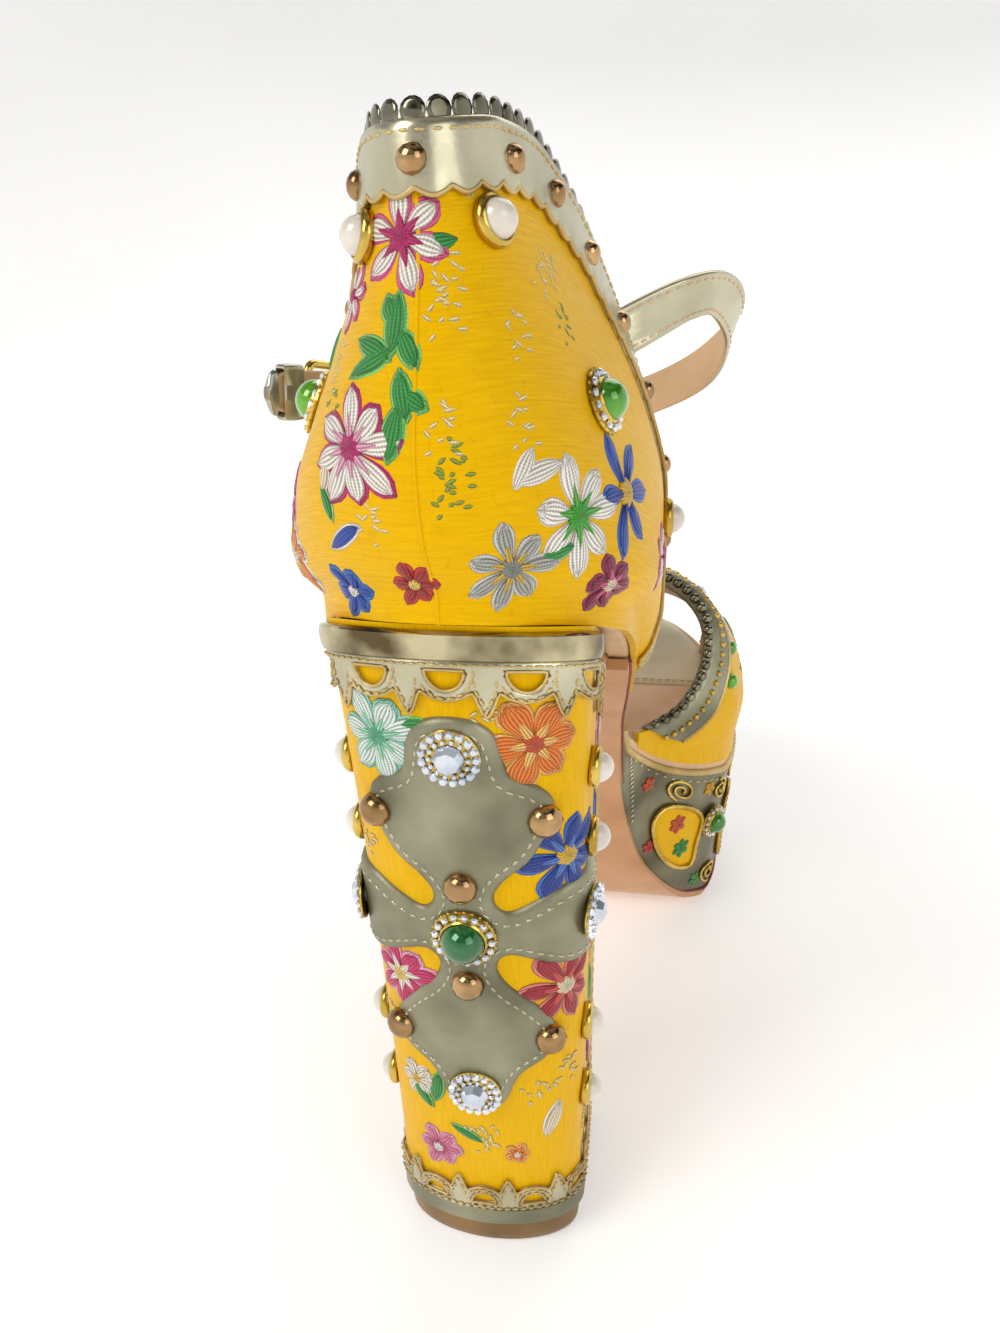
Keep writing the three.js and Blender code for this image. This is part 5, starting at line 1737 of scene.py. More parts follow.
    def motifs(self) -> None:
        """Embroider the vamp."""
        needle = Needle()
        chart = lambda turn, y, angle=0.0: Chart(VAMP.at, turn, y, 0.8, angle)
        white = "f6f1e8"
        for side in (0.0, 1.0):
            at = lambda t: t if side == 0 else 1 - t
            needle.flower(chart(at(0.2), 122), 7.5, 7, ("e0568e", white), "c2106a", "e9a7c4")
            needle.flower(chart(at(0.16), 148), 6.2, 6, ("a0305e", "c21f6a"), "f6d36a", "f08cc0")
            needle.flower(chart(at(0.3), 152), 6.0, 8, ("3d6fd0", "1f49b4"), "f2c21c", "", 0.7)
            needle.leaf(chart(at(0.22), 136, 20), 10, 4.4, LEAF)
            needle.leaf(chart(at(0.12), 106, 70), 9, 4.0, LEAF)
            needle.sprig(chart(at(0.33), 138, 130), 7, STRAW)
            needle.sprig(chart(at(0.1), 132, 40), 6.5, MOSS)
            needle.sprig(chart(at(0.22), 166, 160), 6.0, STRAW)
        needle.flower(chart(0.5, 150), 7.5, 8, (white, "f08a24"), "e2702c", white)
        self.clothes.piece(needle.build, "vamp_embroidery", "satin_thread", angle=70)

    def make(self) -> None:
        """Make the whole vamp."""
        self.wall()
        self.bindings()
        self.motifs()


@dataclass
class Heel:
    """The covered block heel with its bands, lace-like trims, appliqué and embroidery."""

    clothes: Wardrobe
    reach: float = 0.985
    band: float = 5.0
    units: int = 10
    applique: float = 93.0
    centre: float = 87.05
    arm_end: float = -3.0
    drop: tuple = ((0.0, 7.6), (0.1, 7.4), (0.2, 7.0), (0.28, 6.3), (0.33, 5.9), (0.37, 6.9), (0.4, 8.2),
                   (0.44, 9.4), (0.5, 10.7), (0.56, 9.4), (0.6, 8.2), (0.63, 6.9), (0.67, 5.9), (0.72, 6.3),
                   (0.8, 7.0), (0.9, 7.4))

    def seat_z(self, u) -> np.ndarray:
        """Give the height where the cover meets the board."""
        return FORM.seat_under(HEEL.at(u, 150.0)[..., 1]) + 0.1

    def block(self) -> None:
        """Make the cover and the top lift."""
        tall = self.seat_z(np.linspace(-1, 1, 121))
        rings = [HEEL.ring(lerp(HEEL.lift + 0.3, tall, t), 0.0) for t in np.linspace(0, 1, 70)]
        build = Build()
        build.grid(np.array(rings)[::-1])
        self.clothes.piece(build, "heel_brocade", "satin_brocade", "heel")
        lift = Build()
        profile = ((0.0, -1.5), (0.15, -0.9), (0.6, -0.5), (2.2, -0.3), (5.4, 0.0), (6.2, 0.0), (6.5, -0.4))
        lift.grid(np.array([HEEL.ring(z, out) for z, out in profile]))
        self.clothes.piece(lift, "heel_top_lift", "top_lift_rubber", "top_lift")
        piping = Build()
        for u in (-1.0, 1.0):
            z = np.linspace(HEEL.lift + 1.5, float(self.seat_z(u)) - 0.5, 260)
            path = raised(HEEL.at, u, z, 0.35, dv=1.0)
            piping.cord(path, 1.15, np.array([0, -1.0, 0]), 10, 0.22, 3.0)
        self.clothes.piece(piping, "breast_piping", "piping_cord", angle=80)

    def strip(self, low: Callable, high: Callable, thick: float, crown: float = 0.0) -> np.ndarray:
        """Give the section rings of a band round the heel.

        Args:
            low: height of its foot at u.
            high: height of its head at u.
            thick: its thickness.
            crown: extra swell in the middle.

        Returns:
            Rings along the band.
        """
        us = np.linspace(-self.reach, self.reach, 181)
        ring = []
        for t, out in ((0, 0.15), (0, thick * 0.6), (0.06, thick), (0.3, thick + crown), (0.7, thick + crown),
                       (0.94, thick), (1, thick * 0.6), (1, 0.15)):
            ring.append(raised(HEEL.at, us, lerp(low(us), high(us), t), out, dv=1.0))
        return np.stack(ring, 1)

    def bands(self) -> None:
        """Make the mirror band below the seat and the brushed band above the top lift."""
        top = Build()
        foot = lambda u: HEEL.seat_line(u) - self.band
        top.grid(self.strip(foot, HEEL.seat_line, 1.4, 0.25))
        # the band's dark clouds are painted reflection
        self.clothes.piece(top, "mirror_band", "mirror_gold_painted_reflections", "heel_top_band")
        low = Build()
        foot = lambda u: HEEL.lift + 0.4 + 0 * u
        low.grid(self.strip(foot, lambda u: HEEL.lift + self.band + 0 * u, 0.9))
        self.clothes.piece(low, "brushed_band", "brushed_leather")

    def lace(self) -> None:
        """Make the two cut trims, one hanging and one standing, with their sewn lines."""
        us = np.linspace(-self.reach, self.reach, 400)
        stitches: list[tuple[Seat, float]] = []
        for node, level, way, size in (("heel_top_trim", 140.0, -1, 1.0), ("heel_foot_trim", 15.0, 1, 0.83)):
            line = HEEL.at(us, level)
            run = run_of(line)
            run -= run[-1] / 2
            period = (run[-1] - run[0]) / self.units
            head = (lambda u: HEEL.seat_line(u) - self.band) if way < 0 else (
                lambda u: HEEL.lift + self.band + 0 * u)
            def put(p: np.ndarray, height, head=head, way=way, run=run) -> np.ndarray:
                """Lay the trim round the heel."""
                u = np.interp(p[:, 0], run, us)
                return raised(HEEL.at, u, head(u) + way * p[:, 1], height, dv=1.0)
            foot, holes, sewn = [], [], []
            for k in range(self.units):
                a = run[0] + k * period
                foot += [(a + x * period, y * size) for x, y in self.drop]
                sewn.append([(a + x * period, y * size) for x, y in ((0.36, 2.2), (0.37, 5.4), (0.5, 9.2))])
                sewn.append([(a + x * period, y * size) for x, y in ((0.5, 9.2), (0.63, 5.4), (0.64, 2.2))])
                if k:
                    turn = np.linspace(0, np.pi, 11)
                    arch = np.stack([a + 0.25 * period * np.cos(turn), size * (1.9 + 3.9 * np.sin(turn))], 1)
                    holes.append(arch[::-1])
                    sewn.append(np.stack([a + 0.35 * period * np.cos(turn[1:-1]),
                                          size * (2.0 + 5.1 * np.sin(turn[1:-1]))], 1))
            loop = np.array(foot + [(run[-1], 7.4 * size)] + [(x, 0.0) for x in np.linspace(run[-1], run[0],
                                                                                            90)])
            build = Build()
            Patch(loop, holes, 0.9, 0.5, 1.3).lay(build, put, base=0.2)
            self.clothes.piece(build, node + "_leather", "pale_gold_leather", node, angle=60)
            edge = Build()
            for rows in [np.array(foot), *[np.concatenate([h, h[:1]]) for h in holes]]:
                path = even_path(put(rows, np.full(len(rows), 0.75)), 0.6)
                edge.cord(path, 0.3, UP, 6)
            self.clothes.piece(edge, node + "_edge", "piping_cord", angle=80)
            sewn.append([(x, 0.75) for x in np.linspace(run[0] + 1, run[-1] - 1, 200)])
            for rows in sewn:
                path = even_path(put(np.array(rows, float), np.full(len(rows), 1.12)), 1.75)
                for p, q in zip(path[:-1], path[1:]):
                    out = unit(p * np.array([1.0, 1.0, 0]) - np.array([0, 2.0, 0]))
                    along = unit(q - p)
                    stitches.append((Seat(p, along, np.cross(out, along), out), 0.78))
        self.clothes.row(Small.STITCH, "lace_stitches", "piping_cord", stitches)

    def plate(self) -> None:
        """Make the cross-shaped appliqué and the stitches inside its edge."""
        us = np.linspace(-1, 1, 801)
        line = HEEL.at(us, self.centre)
        run = run_of(line)
        run -= np.interp(0, us, run)
        end = float(np.interp(self.arm_end, line[500:, 1], run[500:]))
        half = [(0, .5), (.045, .492), (.075, .465), (.088, .42), (.1, .375), (.15, .345), (.178, .305),
                (.17, .25), (.135, .18), (.085, .135), (.062, .1), (.065, .07), (.09, .055), (.14, .075)]
        size = self.applique
        right = [(x * size, y * size) for x, y in half] + [
            (0.2 * size, 0.1 * size), (end - 6, 0.11 * size), (end - 1.2, 0.085 * size), (end, 0)]
        foot = [(0, -.5), (.04, -.49), (.07, -.46), (.085, -.42), (.11, -.38), (.16, -.345), (.187, -.3),
                (.178, -.25), (.135, -.19), (.085, -.14), (.062, -.1), (.065, -.07), (.09, -.055),
                (.14, -.075)]
        lower = [(x * size, y * size) for x, y in foot] + [(0.2 * size, -0.1 * size), (end - 6, -0.11 * size),
                                                            (end - 1.2, -0.085 * size)]
        side = right + lower[::-1]
        whole = side + [(-x, y) for x, y in side[::-1] if abs(x) > 0.01]
        loop = round_outline(whole, 5)
        patch = Patch(loop, thick=1.25, round_edge=1.3, step=1.6)
        def put(p: np.ndarray, height) -> np.ndarray:
            """Lay the plate round the heel's back."""
            u = np.interp(p[:, 0], run, us)
            return raised(HEEL.at, u, self.centre + p[:, 1], height, dv=1.0)
        build = Build()
        patch.lay(build, put, base=0.1)
        self.clothes.piece(build, "heel_applique_leather", "brushed_leather", "heel_applique", angle=60)
        seats = []
        for p in patch.stitch_line(2.4, 2.1):
            u = float(np.interp(p[0], run, us))
            seats.append(Seat.on(HEEL.at, u, self.centre + p[1], 1.3, 1.0))
        turned = []
        for a, b in zip(seats, seats[1:] + seats[:1]):
            way = b.point - a.point
            way = unit(way - a.out * float(way @ a.out))
            turned.append((Seat(a.point, way, np.cross(a.out, way), a.out), 0.85))
        self.clothes.row(Small.STITCH, "applique_stitches", "pale_gold_leather", turned)

    def motifs(self) -> None:
        """Embroider the heel's cover."""
        needle = Needle()
        chart = lambda u, z, angle=0.0: Chart(HEEL.at, u, z, 1.0, angle)
        white, green = "f6f1e8", "2f9a3e"
        needle.flower(chart(-0.26, 128, 20), 9.4, 7, ("8fd4c0", "dff2ea"), "57b98c", "9adbb8")
        needle.leaf(chart(-0.17, 131, 10), 6.0, 3.0, LEAF)
        needle.flower(chart(0.27, 128, 5), 8.9, 6, ("f6b25a", "f0801c"), "d8541c", "f6c46a")
        needle.flower(chart(0.42, 103, 30), 9.6, 7, ("3d6fd0", "1a3a9c"), "f2c21c", "4f7fd8", 0.8)
        needle.flower(chart(-0.31, 73, 10), 8.4, 7, ("f2a9c2", "d8206c"), "f6d36a", white)
        needle.flower(chart(0.42, 72, 25), 9.2, 7, ("e98a7a", "b01c30"), "f4e6c0", "e05a50", 0.85)
        needle.leaf(chart(-0.2, 40, 80), 9, 3.6, LEAF)
        needle.leaf(chart(-0.21, 38, 130), 8, 3.4, LEAF)
        needle.flower(chart(-0.29, 45), 4.6, 6, (white, "f3ead4"), "f2c21c")
        needle.leaf(chart(-0.13, 35, -30), 8, 2.6, ("9fe08a", green))
        needle.leaf(chart(0.3, 32, 70), 10, 3.8, (white, "efe3c2"))
        needle.flower(chart(-0.2, 27, 0), 5.6, 6, ("f2a9c2", "e07ba0"), white, "c8507e")
        needle.flower(chart(0.16, 28), 3.0, 5, ("f6b25a", "f0801c"), white)
        for s in (1, -1):
            needle.flower(chart(0.84 * s, 118), 7.0, 7, ("f2a9c2", "c21f6a"), "f6d36a", white)
            needle.flower(chart(0.86 * s, 93, 15), 7.2, 8, ("3d6fd0", "1f49b4"), "f2c21c", "", 0.7)
            needle.flower(chart(0.86 * s, 68), 7.0, 7, (white, "f08a24"), white, "f6c46a")
            needle.leaf(chart(0.8 * s, 50, 80), 9, 3.8, LEAF)
            needle.leaf(chart(0.86 * s, 50, 130), 8, 3.6, LEAF)
            needle.flower(chart(0.84 * s, 38), 6.2, 6, ("a0305e", "e0568e"), "f2e6c0", white)
        for u, z, a in ((0.13, 134, 90), (-0.42, 104, 90), (0.3, 45, 20), (0.0, 33, 0), (-0.46, 60, 90),
                        (0.48, 50, 90), (0.05, 31, 40), (0.72, 80, 90), (-0.72, 80, 90), (0.7, 28, 60),
                        (-0.7, 28, 60)):
            needle.sprig(chart(u, z, a), 6.4, STRAW)
        self.clothes.piece(needle.build, "heel_embroidery", "satin_thread", angle=70)

    def make(self) -> None:
        """Make the whole heel."""
        self.block()
        self.bands()
        self.lace()
        self.plate()
        self.motifs()


@dataclass
class Stones:
    """Pearls in cups, cabochons in crystal rings, crystal clusters and studs."""

    clothes: Wardrobe
    pearl: float = 2.95
    cabochon: float = 4.2
    small_cabochon: float = 3.4
    stud: float = 3.3
    centre: float = 87.05
    on_plate: float = 1.3
    beads: list[tuple[Seat, float]] = field(default_factory=list)
    cuts: list[tuple[Seat, float]] = field(default_factory=list)

    def turned(self, build: Build, seat: Seat, profile: Sequence[tuple[float, float]],
               sides: int = 28) -> None:
        """Turn a profile of radius and height on a seat."""
        a = np.linspace(0, 2 * np.pi, sides, endpoint=False)
        rings = [seat.put(np.stack([r * np.cos(a), r * np.sin(a), np.full(sides, z)], 1)) for r, z in profile]
        build.grid(np.array(rings))

    def dome(self, radius: float, height: float, foot: float, steps: int = 10) -> list[tuple[float, float]]:
        """Give the profile of a dome on a short wall."""
        rows = [(radius * 0.9, foot - 0.6), (radius, foot)]
        for t in np.linspace(0, 1, steps)[1:]:
            a = t * math.pi / 2
            rows.append((max(radius * math.cos(a), 0.02), foot + (height - foot) * math.sin(a)))
        return rows

    def circle(self, seat: Seat, radius: float, count: int, size: float, rise: float, cut: bool) -> None:
        """Set small pieces in a ring."""
        for k in range(count):
            a = 2 * math.pi * k / count
            point = seat.put(np.array([radius * math.cos(a), radius * math.sin(a), rise]))
            way = seat.along * -math.sin(a) + seat.up * math.cos(a)
            here = Seat(point, way, np.cross(seat.out, way), seat.out)
            (self.cuts if cut else self.beads).append((here, size))

    def heel_seat(self, u: float, z: float, out: float) -> Seat:
        """Give a seat on the heel."""
        return Seat.on(HEEL.at, u, z, out, 1.0)

    def pearls(self) -> None:
        """Make the pearls and their cups."""
        skin, cup = Build(), Build()
        seats, nodes = [], []
        for word, s in (("inner", 1), ("outer", -1)):
            for i, share in enumerate((0.753, 0.655, 0.36, 0.24)):
                seats.append(self.heel_seat(s * 0.66, share * FORM.seat_height, 0.0))
                nodes.append(f"pearl_{word}_{i + 1}")
            high = float(COUNTER.top(s * 0.28)) - (COUNTER.band + self.pearl + 3) / COUNTER.height
            seats.append(Seat.on(COUNTER.at, s * 0.28, high, 0.1))
            seats.append(Seat.on(COUNTER.at, s * 0.85, 0.36, 0.1))
            nodes += [f"pearl_counter_{word}", f"pearl_edge_{word}"]
        for seat in seats:
            self.turned(skin, seat, self.dome(self.pearl, 4.3, 1.3))
            self.turned(cup, seat, [(self.pearl + d, z) for d, z in (
                (0.1, 0.0), (0.6, 0.05), (0.85, 0.35), (0.95, 0.9), (0.85, 1.4), (0.55, 1.8), (0.2, 1.95),
                (0.0, 1.7), (-0.3, 0.4))])
        self.clothes.piece(skin, "pearls", "pearl_skin", *nodes)
        self.clothes.piece(cup, "pearl_cups", "gilt_rim")

    def cabochons(self) -> None:
        """Make the cabochons, their rims and their rings of crystals."""
        green, deep, rim = Build(), Build(), Build()
        seats = [(self.heel_seat(0, self.centre, self.on_plate + 0.05), deep)]
        for s in (1, -1):
            seats.append((Seat.on(COUNTER.at, s * 0.56, 0.52, 0.1), green))
            wall = side_wall(s)
            face: Surface = lambda a, b, w=wall, k=s: w(k * a * 100.0, b)
            seats.append((Seat.on(face, s * 1.135, 0.6, 0.7), green))
        for seat, where in seats:
            r = self.cabochon if where is deep else self.small_cabochon
            self.turned(where, seat, self.dome(r, 1.3 * r, 1.3))
            self.turned(rim, seat, [(r + d, z) for d, z in (
                (1.2, 0.0), (1.8, 0.05), (2.0, 0.4), (1.8, 0.8), (1.3, 0.7), (0.6, 0.8), (0.35, 1.5),
                (0.1, 1.7), (-0.15, 1.4), (-0.4, 0.3))], 32)
            self.circle(seat, r + 1.15, int(4.2 * r), 0.72, 1.1, True)
            self.circle(seat, r + 1.95, int(6 * r), 0.3, 0.45, False)
        nodes = ["cabochon_counter_inner", "cabochon_counter_outer", "cabochon_platform_inner",
                 "cabochon_platform_outer"]
        self.clothes.piece(green, "green_cabochons", "green_stone", *nodes)
        self.clothes.piece(deep, "heel_cabochon", "emerald_stone", "cabochon_heel")
        self.clothes.piece(rim, "cabochon_rims", "gilt_rim")

    def clusters(self) -> None:
        """Make the crystal clusters' plates and set their crystals."""
        plate = Build()
        for u, z in ((0, 126.55), (0, 47.06), (0.61, self.centre), (-0.61, self.centre)):
            seat = self.heel_seat(u, z, self.on_plate)
            self.turned(plate, seat, [(4.9, 0.0), (5.3, 0.1), (5.4, 0.35), (5.0, 0.7), (3.0, 0.95),
                                      (0.4, 1.0)])
            self.circle(seat, 4.75, 17, 0.85, 0.95, True)
            self.circle(seat, 3.45, 14, 0.5, 1.25, True)
            self.cuts.append((Seat(seat.put(np.array([0, 0, 1.2])), seat.along, seat.up, seat.out), 2.9))
        nodes = ["cluster_top", "cluster_foot", "cluster_inner", "cluster_outer"]
        self.clothes.piece(plate, "cluster_plates", "gilt_rim", *nodes)

    def studs(self) -> None:
        """Make the appliqué's ball studs."""
        nodes = ["stud_above_stone", "stud_below_stone"]
        nodes += [f"stud_{level}_{side}" for side in ("inner", "outer") for level in ("upper", "lower")]
        seats = [(self.heel_seat(u, z, 1.5), self.stud) for u, z in (
            (0.3, 112.6), (0.32, 60.5), (-0.3, 112.6), (-0.32, 60.5), (0, 98.6), (0, 75.4))]
        self.clothes.row(Small.DOME, "ball_studs", "rose_stud", seats, *nodes, spread=0.0)

    def make(self) -> None:
        """Make every stone and its small settings."""
        self.pearls()
        self.cabochons()
        self.clusters()
        self.studs()
        self.clothes.row(Small.CUT, "set_crystals", "cut_crystal", self.cuts, spread=0.04)
        self.clothes.row(Small.BALL, "setting_beads", "gilt_rim", self.beads, spread=0.02)


@dataclass
class AnkleStrap:
    """The two straps, the buckle with its prong, and the keeper."""

    clothes: Wardrobe
    width: float = 9.0
    thick: float = 1.6
    loop: float = 9.0
    wire: float = 2.0
    buckle_share: float = 0.87
    keeper_share: float = 0.955
    long_route: tuple = (
        (.68, .98, .545, 12), (.8, 1.12, .535, 22), (.85, 1.26, .425, 18), (.72, 1.4, .255, 8),
        (.38, 1.47, .122, 0), (0, 1.47, .075, 0), (-.36, 1.38, .113, 4), (-.62, 1.2, .188, 8),
        (-.75, 1.02, .254, 6), (-.84, .87, .291, 0), (-.94, .76, .31, 0))
    short_route: tuple = ((-.625, .86, .31, 4), (-.665, .99, .268, 6))
    root: tuple = ((.58, .89, .76), (.66, .945, .79), (.74, 1.0, .85))

    def frames(self, side: int, route: Sequence[Sequence[float]]) -> tuple[np.ndarray, np.ndarray]:
        """Give the strap's guide points and the way its upper edge lies.

        Args:
            side: 1 for the inner root, -1 for the outer.
            route: rows of side, ahead, up and lean.

        Returns:
            The points and the ways.
        """
        middles, ups = [], []
        sunk = -COUNTER.wall - 2 * FORM.fit - self.thick / 2
        for along, inner, outer in self.root:
            u, h = side * math.sqrt(along), inner if side > 0 else outer
            here = [raised(COUNTER.at, u, h + d, sunk, 0.004, 0.004) for d in (-0.04, 0, 0.04)]
            middles.append(here[1])
            ups.append(unit(here[2] - here[0]))
        rows = np.array([(s * FORM.seat_width, FORM.back + a * COUNTER.length,
                          FORM.seat_height + u * COUNTER.height)
                         for s, a, u, _ in route])
        for i, row in enumerate(route):
            along = unit(rows[min(i + 1, len(rows) - 1)] - rows[max(i - 1, 0)])
            across = unit(np.cross(along, [0, 0, 1.0]))
            lean = math.radians(row[3])
            middles.append(rows[i])
            ups.append(across * math.sin(lean) + np.array([0, 0, math.cos(lean)]))
        return np.array(middles), np.array(ups)

    @staticmethod
    def curve(guide: np.ndarray, t: float) -> np.ndarray:
        """Read a centripetal Catmull-Rom curve through guide points at a share of its points."""
        place = (len(guide) - 1) * min(max(t, 0.0), 1.0)
        k = min(int(place), len(guide) - 2)
        w = place - k
        p1, p2 = guide[k], guide[k + 1]
        p0 = guide[k - 1] if k > 0 else 2 * guide[0] - guide[1]
        p3 = guide[k + 2] if k + 2 < len(guide) else 2 * guide[-1] - guide[-2]
        d0, d1, d2 = (max(float(np.linalg.norm(b - a)) ** 0.5, 1e-4) for a,
                      b in ((p0, p1), (p1, p2), (p2, p3)))
        m1 = ((p1 - p0) / d0 - (p2 - p0) / (d0 + d1) + (p2 - p1) / d1) * d1
        m2 = ((p2 - p1) / d1 - (p3 - p1) / (d1 + d2) + (p3 - p2) / d2) * d1
        return p1 + m1 * w + (-3 * p1 + 3 * p2 - 2 * m1 - m2) * w ** 2 + (2 * p1 - 2 * p2 + m1 + m2) * w ** 3

    def seat(self, guide: np.ndarray, ups: np.ndarray, t: float) -> Seat:
        """Give the strap's seat at a share of its route."""
        k = min(int(min(t, 0.9999) * (len(guide) - 1)), len(guide) - 2)
        w = min(t, 0.9999) * (len(guide) - 1) - k
        along = unit(self.curve(guide, t + 1e-3) - self.curve(guide, t - 1e-3))
        up = lerp(ups[k], ups[k + 1], float(smooth(np.array(w))))
        up = unit(up - along * float(up @ along))
        return Seat(self.curve(guide, t), along, up, unit(np.cross(along, up)))

    def ribbon(self, guide: np.ndarray, ups: np.ndarray, count: int, outer: int, tip: float) -> tuple[Build,
                                                                                                      list]:
        """Make a strap of two leathers with turned edges.

        Args:
            guide: its guide points.
            ups: the way of its upper edge at each.
            count: stations along it.
            outer: 1 if the seat's outward way is the strap's outer face, else -1.
            tip: length of its pointed end.

        Returns:
            The mesh and its stitches' seats.
        """
        build = Build()
        ts = np.linspace(0, 1, count)
        seats = [self.seat(guide, ups, float(t)) for t in ts]
        run = np.r_[0, np.cumsum([np.linalg.norm(b.point - a.point) for a, b in zip(seats, seats[1:])])]
        half, deep = self.width / 2, self.thick / 2
        faces = []
        for flip in (1, -1):
            rings = []
            for seat, s in zip(seats, run):
                left = run[-1] - s
                narrow = 1.0 if left > tip else max(0.3, math.sqrt(max(0.0, 1 - (1 - left / tip) ** 2)))
                ring = []
                for x, z in ((-1, 0.03), (-1, 0.55), (-.93, .95), (-.8, 1.0), (-.72, .86), (-.5, .96),
                             (0, 1.05), (.5, .96), (.72, .86), (.8, 1.0), (.93, .95), (1, .55), (1, .03),
                             (0, 0.02)):
                    ring.append(seat.point + seat.up * (x * half * narrow) + seat.out * (flip * z * deep))
                rings.append(ring)
            faces.append(np.array(rings))
        build.grid(faces[0 if outer > 0 else 1], slot=0)
        build.grid(faces[1 if outer > 0 else 0], slot=1)
        stitches = []
        for s in np.arange(2.0, run[-1] - 3, 2.1):
            seat = self.seat(guide, ups, float(np.interp(s, run, ts)))
            for x in (-0.72, 0.72):
                point = seat.point + seat.up * (x * half) + seat.out * (outer * 0.9 * deep)
                stitches.append((Seat(point, seat.along, seat.up, seat.out * outer), 0.8))
        return build, stitches

    def make(self) -> None:
        """Make both straps and their fittings."""
        leathers = [self.clothes["pale_gold_leather"], self.clothes["nude_lining"]]
        guide, ups = self.frames(1, self.long_route)
        build, stitches = self.ribbon(guide, ups, 200, 1, 7.0)
        strap = build.finish("ankle_strap_leather", leathers, 50)
        self.clothes.fit(strap, "pale_gold_leather", "ankle_strap")
        short_guide, short_ups = self.frames(-1, self.short_route)
        short, more = self.ribbon(short_guide, short_ups, 60, -1, 0.01)
        strap = short.finish("buckle_strap_leather", leathers, 50)
        self.clothes.fit(strap, "pale_gold_leather", "buckle_strap")
        self.clothes.row(Small.STITCH, "strap_stitches", "nude_lining", stitches + more)
        self.fittings(guide, ups)

    def frame_loop(self, seat: Seat, half_x: float, half_y: float, corner: float, axes: tuple) -> np.ndarray:
        """Give the middle line of a rounded rectangular loop."""
        a, b = axes
        line = []
        for cx, cy, start in ((1, 1, 0), (-1, 1, 90), (-1, -1, 180), (1, -1, 270)):
            for t in np.linspace(0, 90, 7):
                ang = math.radians(start + t)
                x = cx * (half_x - corner) + corner * math.cos(ang)
                y = cy * (half_y - corner) + corner * math.sin(ang)
                line.append(seat.point + a * x + b * y)
        return even_path(np.array(line + line[:1]), 0.5)

    def fittings(self, guide: np.ndarray, ups: np.ndarray) -> None:
        """Make the buckle, its prong, the keeper and the tail's metal tip."""
        seat = self.seat(guide, ups, self.buckle_share)
        face = self.thick / 2 + 2 * FORM.fit + self.wire / 2
        lifted = Seat(seat.point + seat.out * face, seat.along, seat.up, seat.out)
        half_x, half_y = (self.loop + self.wire) / 2, (self.width + 1 + self.wire) / 2
        line = self.frame_loop(lifted, half_x, half_y, 2.0, (lifted.along, lifted.up))
        buckle = Build()
        ring = tube(line[:-1], self.wire / 2, lifted.out, 12)
        buckle.grid(np.concatenate([ring, ring[:1]]))
        self.clothes.piece(buckle, "buckle_frame", "gilt_rim", "buckle")
        prong = Build()
        t = np.linspace(-1, 1, 24)[:, None]
        path = lifted.point + lifted.along * t * half_x + lifted.out * (0.9 * (t ** 2) - 0.3)
        prong.cord(path, self.wire / 3, lifted.out, 10)
        self.clothes.piece(prong, "buckle_tongue", "gilt_rim", "buckle_prong")
        keep = self.seat(guide, ups, self.keeper_share)
        loop = self.frame_loop(keep, self.thick / 2 + 0.8, self.width / 2 + 0.8, 0.7, (keep.out, keep.up))
        rings = []
        for p in loop:
            way = unit(p - keep.point - keep.along * float((p - keep.point) @ keep.along))
            rings.append([p + keep.along * x + way * z for x, z in
                          ((-2.5, -.35), (2.5, -.35), (2.6, 0), (2.3, .4), (0, .55), (-2.3, .4), (-2.6, 0))])
        keeper = Build()
        keeper.grid(np.array(rings))
        self.clothes.piece(keeper, "strap_keeper", "pale_gold_leather", "keeper")
        tip = Build()
        rings = []
        for t in np.linspace(0.982, 1.0, 14):
            s = self.seat(guide, ups, float(t))
            left = (1.0 - t) / 0.018
            half = (self.width / 2 + 0.25) * max(0.35, math.sqrt(max(0, 1 - (1 - min(1, left * 1.2)) ** 2)))
            rings.append([s.point + s.up * (half * math.cos(a)) + s.out * (1.1 * math.sin(a))
                          for a in np.linspace(0, 2 * np.pi, 20, endpoint=False)])
        tip.grid(np.array(rings))
        self.clothes.piece(tip, "strap_tip", "silver_tip")


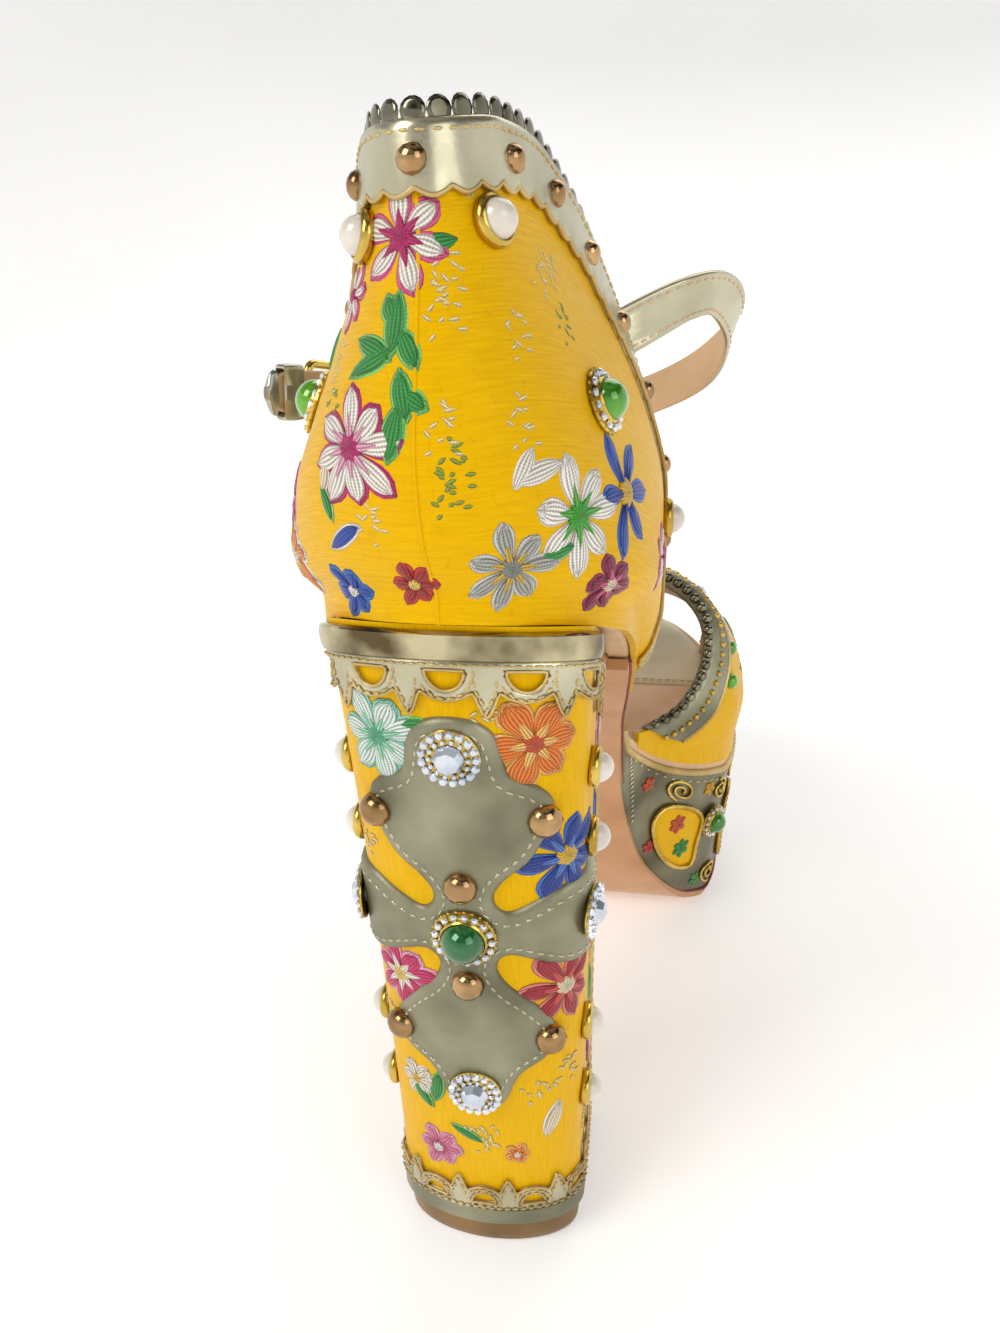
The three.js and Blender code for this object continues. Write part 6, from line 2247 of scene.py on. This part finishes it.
@dataclass
class Studio:
    """The pale floor, the soft lights and the camera."""

    place: tuple = (38.9, -173.5, 211.0)
    yaw: float = -11.337
    pitch: float = 24.093
    roll: float = -2.211
    lens: float = 28.05

    def camera(self) -> None:
        """Set the camera at the photograph's viewing angle."""
        yaw, pitch, roll = (math.radians(a) for a in (self.yaw, self.pitch, self.roll))
        forward = Vector((math.sin(yaw) * math.cos(pitch), math.cos(yaw) * math.cos(pitch), -math.sin(pitch)))
        right = Vector((math.cos(yaw), -math.sin(yaw), 0))
        up = right.cross(forward)
        side = right * math.cos(roll) + up * math.sin(roll)
        head = up * math.cos(roll) - right * math.sin(roll)
        data = bpy.data.cameras.new("camera")
        data.lens, data.sensor_width, data.sensor_fit = self.lens, 36.0, "AUTO"
        data.clip_start, data.clip_end = 0.01, 20.0
        camera = bpy.data.objects.new("camera", data)
        turn = Matrix((side, head, -forward)).transposed().to_4x4()
        camera.matrix_world = Matrix.Translation(Vector(self.place) * MM) @ turn
        bpy.context.scene.collection.objects.link(camera)
        bpy.context.scene.camera = camera

    def light(self, name: str, place: Sequence[float], size: float, power: float, colour: Colour) -> None:
        """Hang a square soft light that faces the shoe."""
        data = bpy.data.lights.new(name, "AREA")
        data.size, data.energy, data.color = size, power, colour
        lamp = bpy.data.objects.new(name, data)
        aim = Vector((0.0, 0.05, 0.11)) - Vector(place)
        lamp.matrix_world = Matrix.Translation(Vector(place)) @ aim.to_track_quat("-Z",
                                                                                  "Y").to_matrix().to_4x4()
        bpy.context.scene.collection.objects.link(lamp)

    def floor(self) -> None:
        """Lay the floor."""
        rings = [(r, -0.0002) for r in (0.05, 0.3, 0.5)]
        rings += [(0.5 + 1.6 * math.sin(a), 1.6 - 1.6 * math.cos(a)) for a in np.linspace(0.05, 1.35, 26)]
        count = 95
        turn = np.linspace(0, 2 * np.pi, count + 1)[:-1]
        cloud = [(r * math.cos(a), r * math.sin(a), z) for r, z in rings for a in turn]
        faces = [tuple(range(count))]
        for i in range(len(rings) - 1):
            near, far = i * count, (i + 1) * count
            faces += [(near + j, far + j, far + (j + 1) % count,
                       near + (j + 1) % count) for j in range(count)]
        mesh = bpy.data.meshes.new("floor")
        mesh.from_pydata(cloud, [], faces)
        mesh.polygons.foreach_set("use_smooth", [True] * len(faces))
        thing = bpy.data.objects.new("floor", mesh)
        bpy.context.scene.collection.objects.link(thing)
        material = bpy.data.materials.new("paper_floor")
        material.use_nodes = True
        g = Graph(material.node_tree)
        shader = material.node_tree.nodes["Principled BSDF"]
        place = g.add("ShaderNodeTexCoord").outputs["Object"]
        mottle = g.add("ShaderNodeTexNoise", {"Vector": place, "Scale": 3.0, "Detail": 3.0})
        colour = g.mix(g.ramp(mottle.outputs[0], 0.3, 0.7), (0.86, 0.855, 0.85, 1), (0.9, 0.895, 0.89, 1))
        material.node_tree.links.new(colour, shader.inputs["Base Color"])
        shader.inputs["Roughness"].default_value = 0.6
        shader.inputs["Emission Color"].default_value = (1.0, 0.995, 0.99, 1.0)
        shader.inputs["Emission Strength"].default_value = 0.34
        mesh.materials.append(material)

    def make(self) -> None:
        """Set the studio up."""
        self.camera()
        self.floor()
        self.light("key", (-0.75, -0.7, 1.15), 0.7, 8.5, (1.0, 0.98, 0.95))
        self.light("fill", (0.9, -0.7, 0.8), 0.8, 3.2, (0.96, 0.98, 1.0))
        self.light("back", (0.1, 0.9, 1.0), 0.9, 4.0, (1.0, 0.99, 0.98))
        world = bpy.data.worlds.new("studio")
        world.use_nodes = True
        g = Graph(world.node_tree)
        sky = g.add("ShaderNodeTexCoord").outputs["Generated"]
        room = g.add("ShaderNodeTexNoise", {"Vector": sky, "Scale": 2.2, "Detail": 1.0})
        tone = g.mix(g.ramp(room.outputs[0], 0.42, 0.55), (0.12, 0.115, 0.11, 1), (1.0, 1.0, 1.0, 1))
        soft = world.node_tree.nodes["Background"]
        world.node_tree.links.new(tone, soft.inputs["Color"])
        soft.inputs["Strength"].default_value = 0.35
        bpy.context.scene.world = world
        bpy.context.scene.view_settings.view_transform = "Standard"


def main() -> None:
    """Build the sandal and the studio, and log the faces of each piece."""
    logging.basicConfig(level=logging.INFO, format="%(name)s: %(message)s")
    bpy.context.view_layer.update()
    clothes = Wardrobe()
    for part in (Underfoot(clothes), Counter(clothes), Vamp(clothes), Heel(clothes), Stones(clothes),
                 AnkleStrap(clothes), Studio()):
        part.make()
        LOG.info("%s is done", type(part).__name__)


if __name__ == "__main__":
    main()
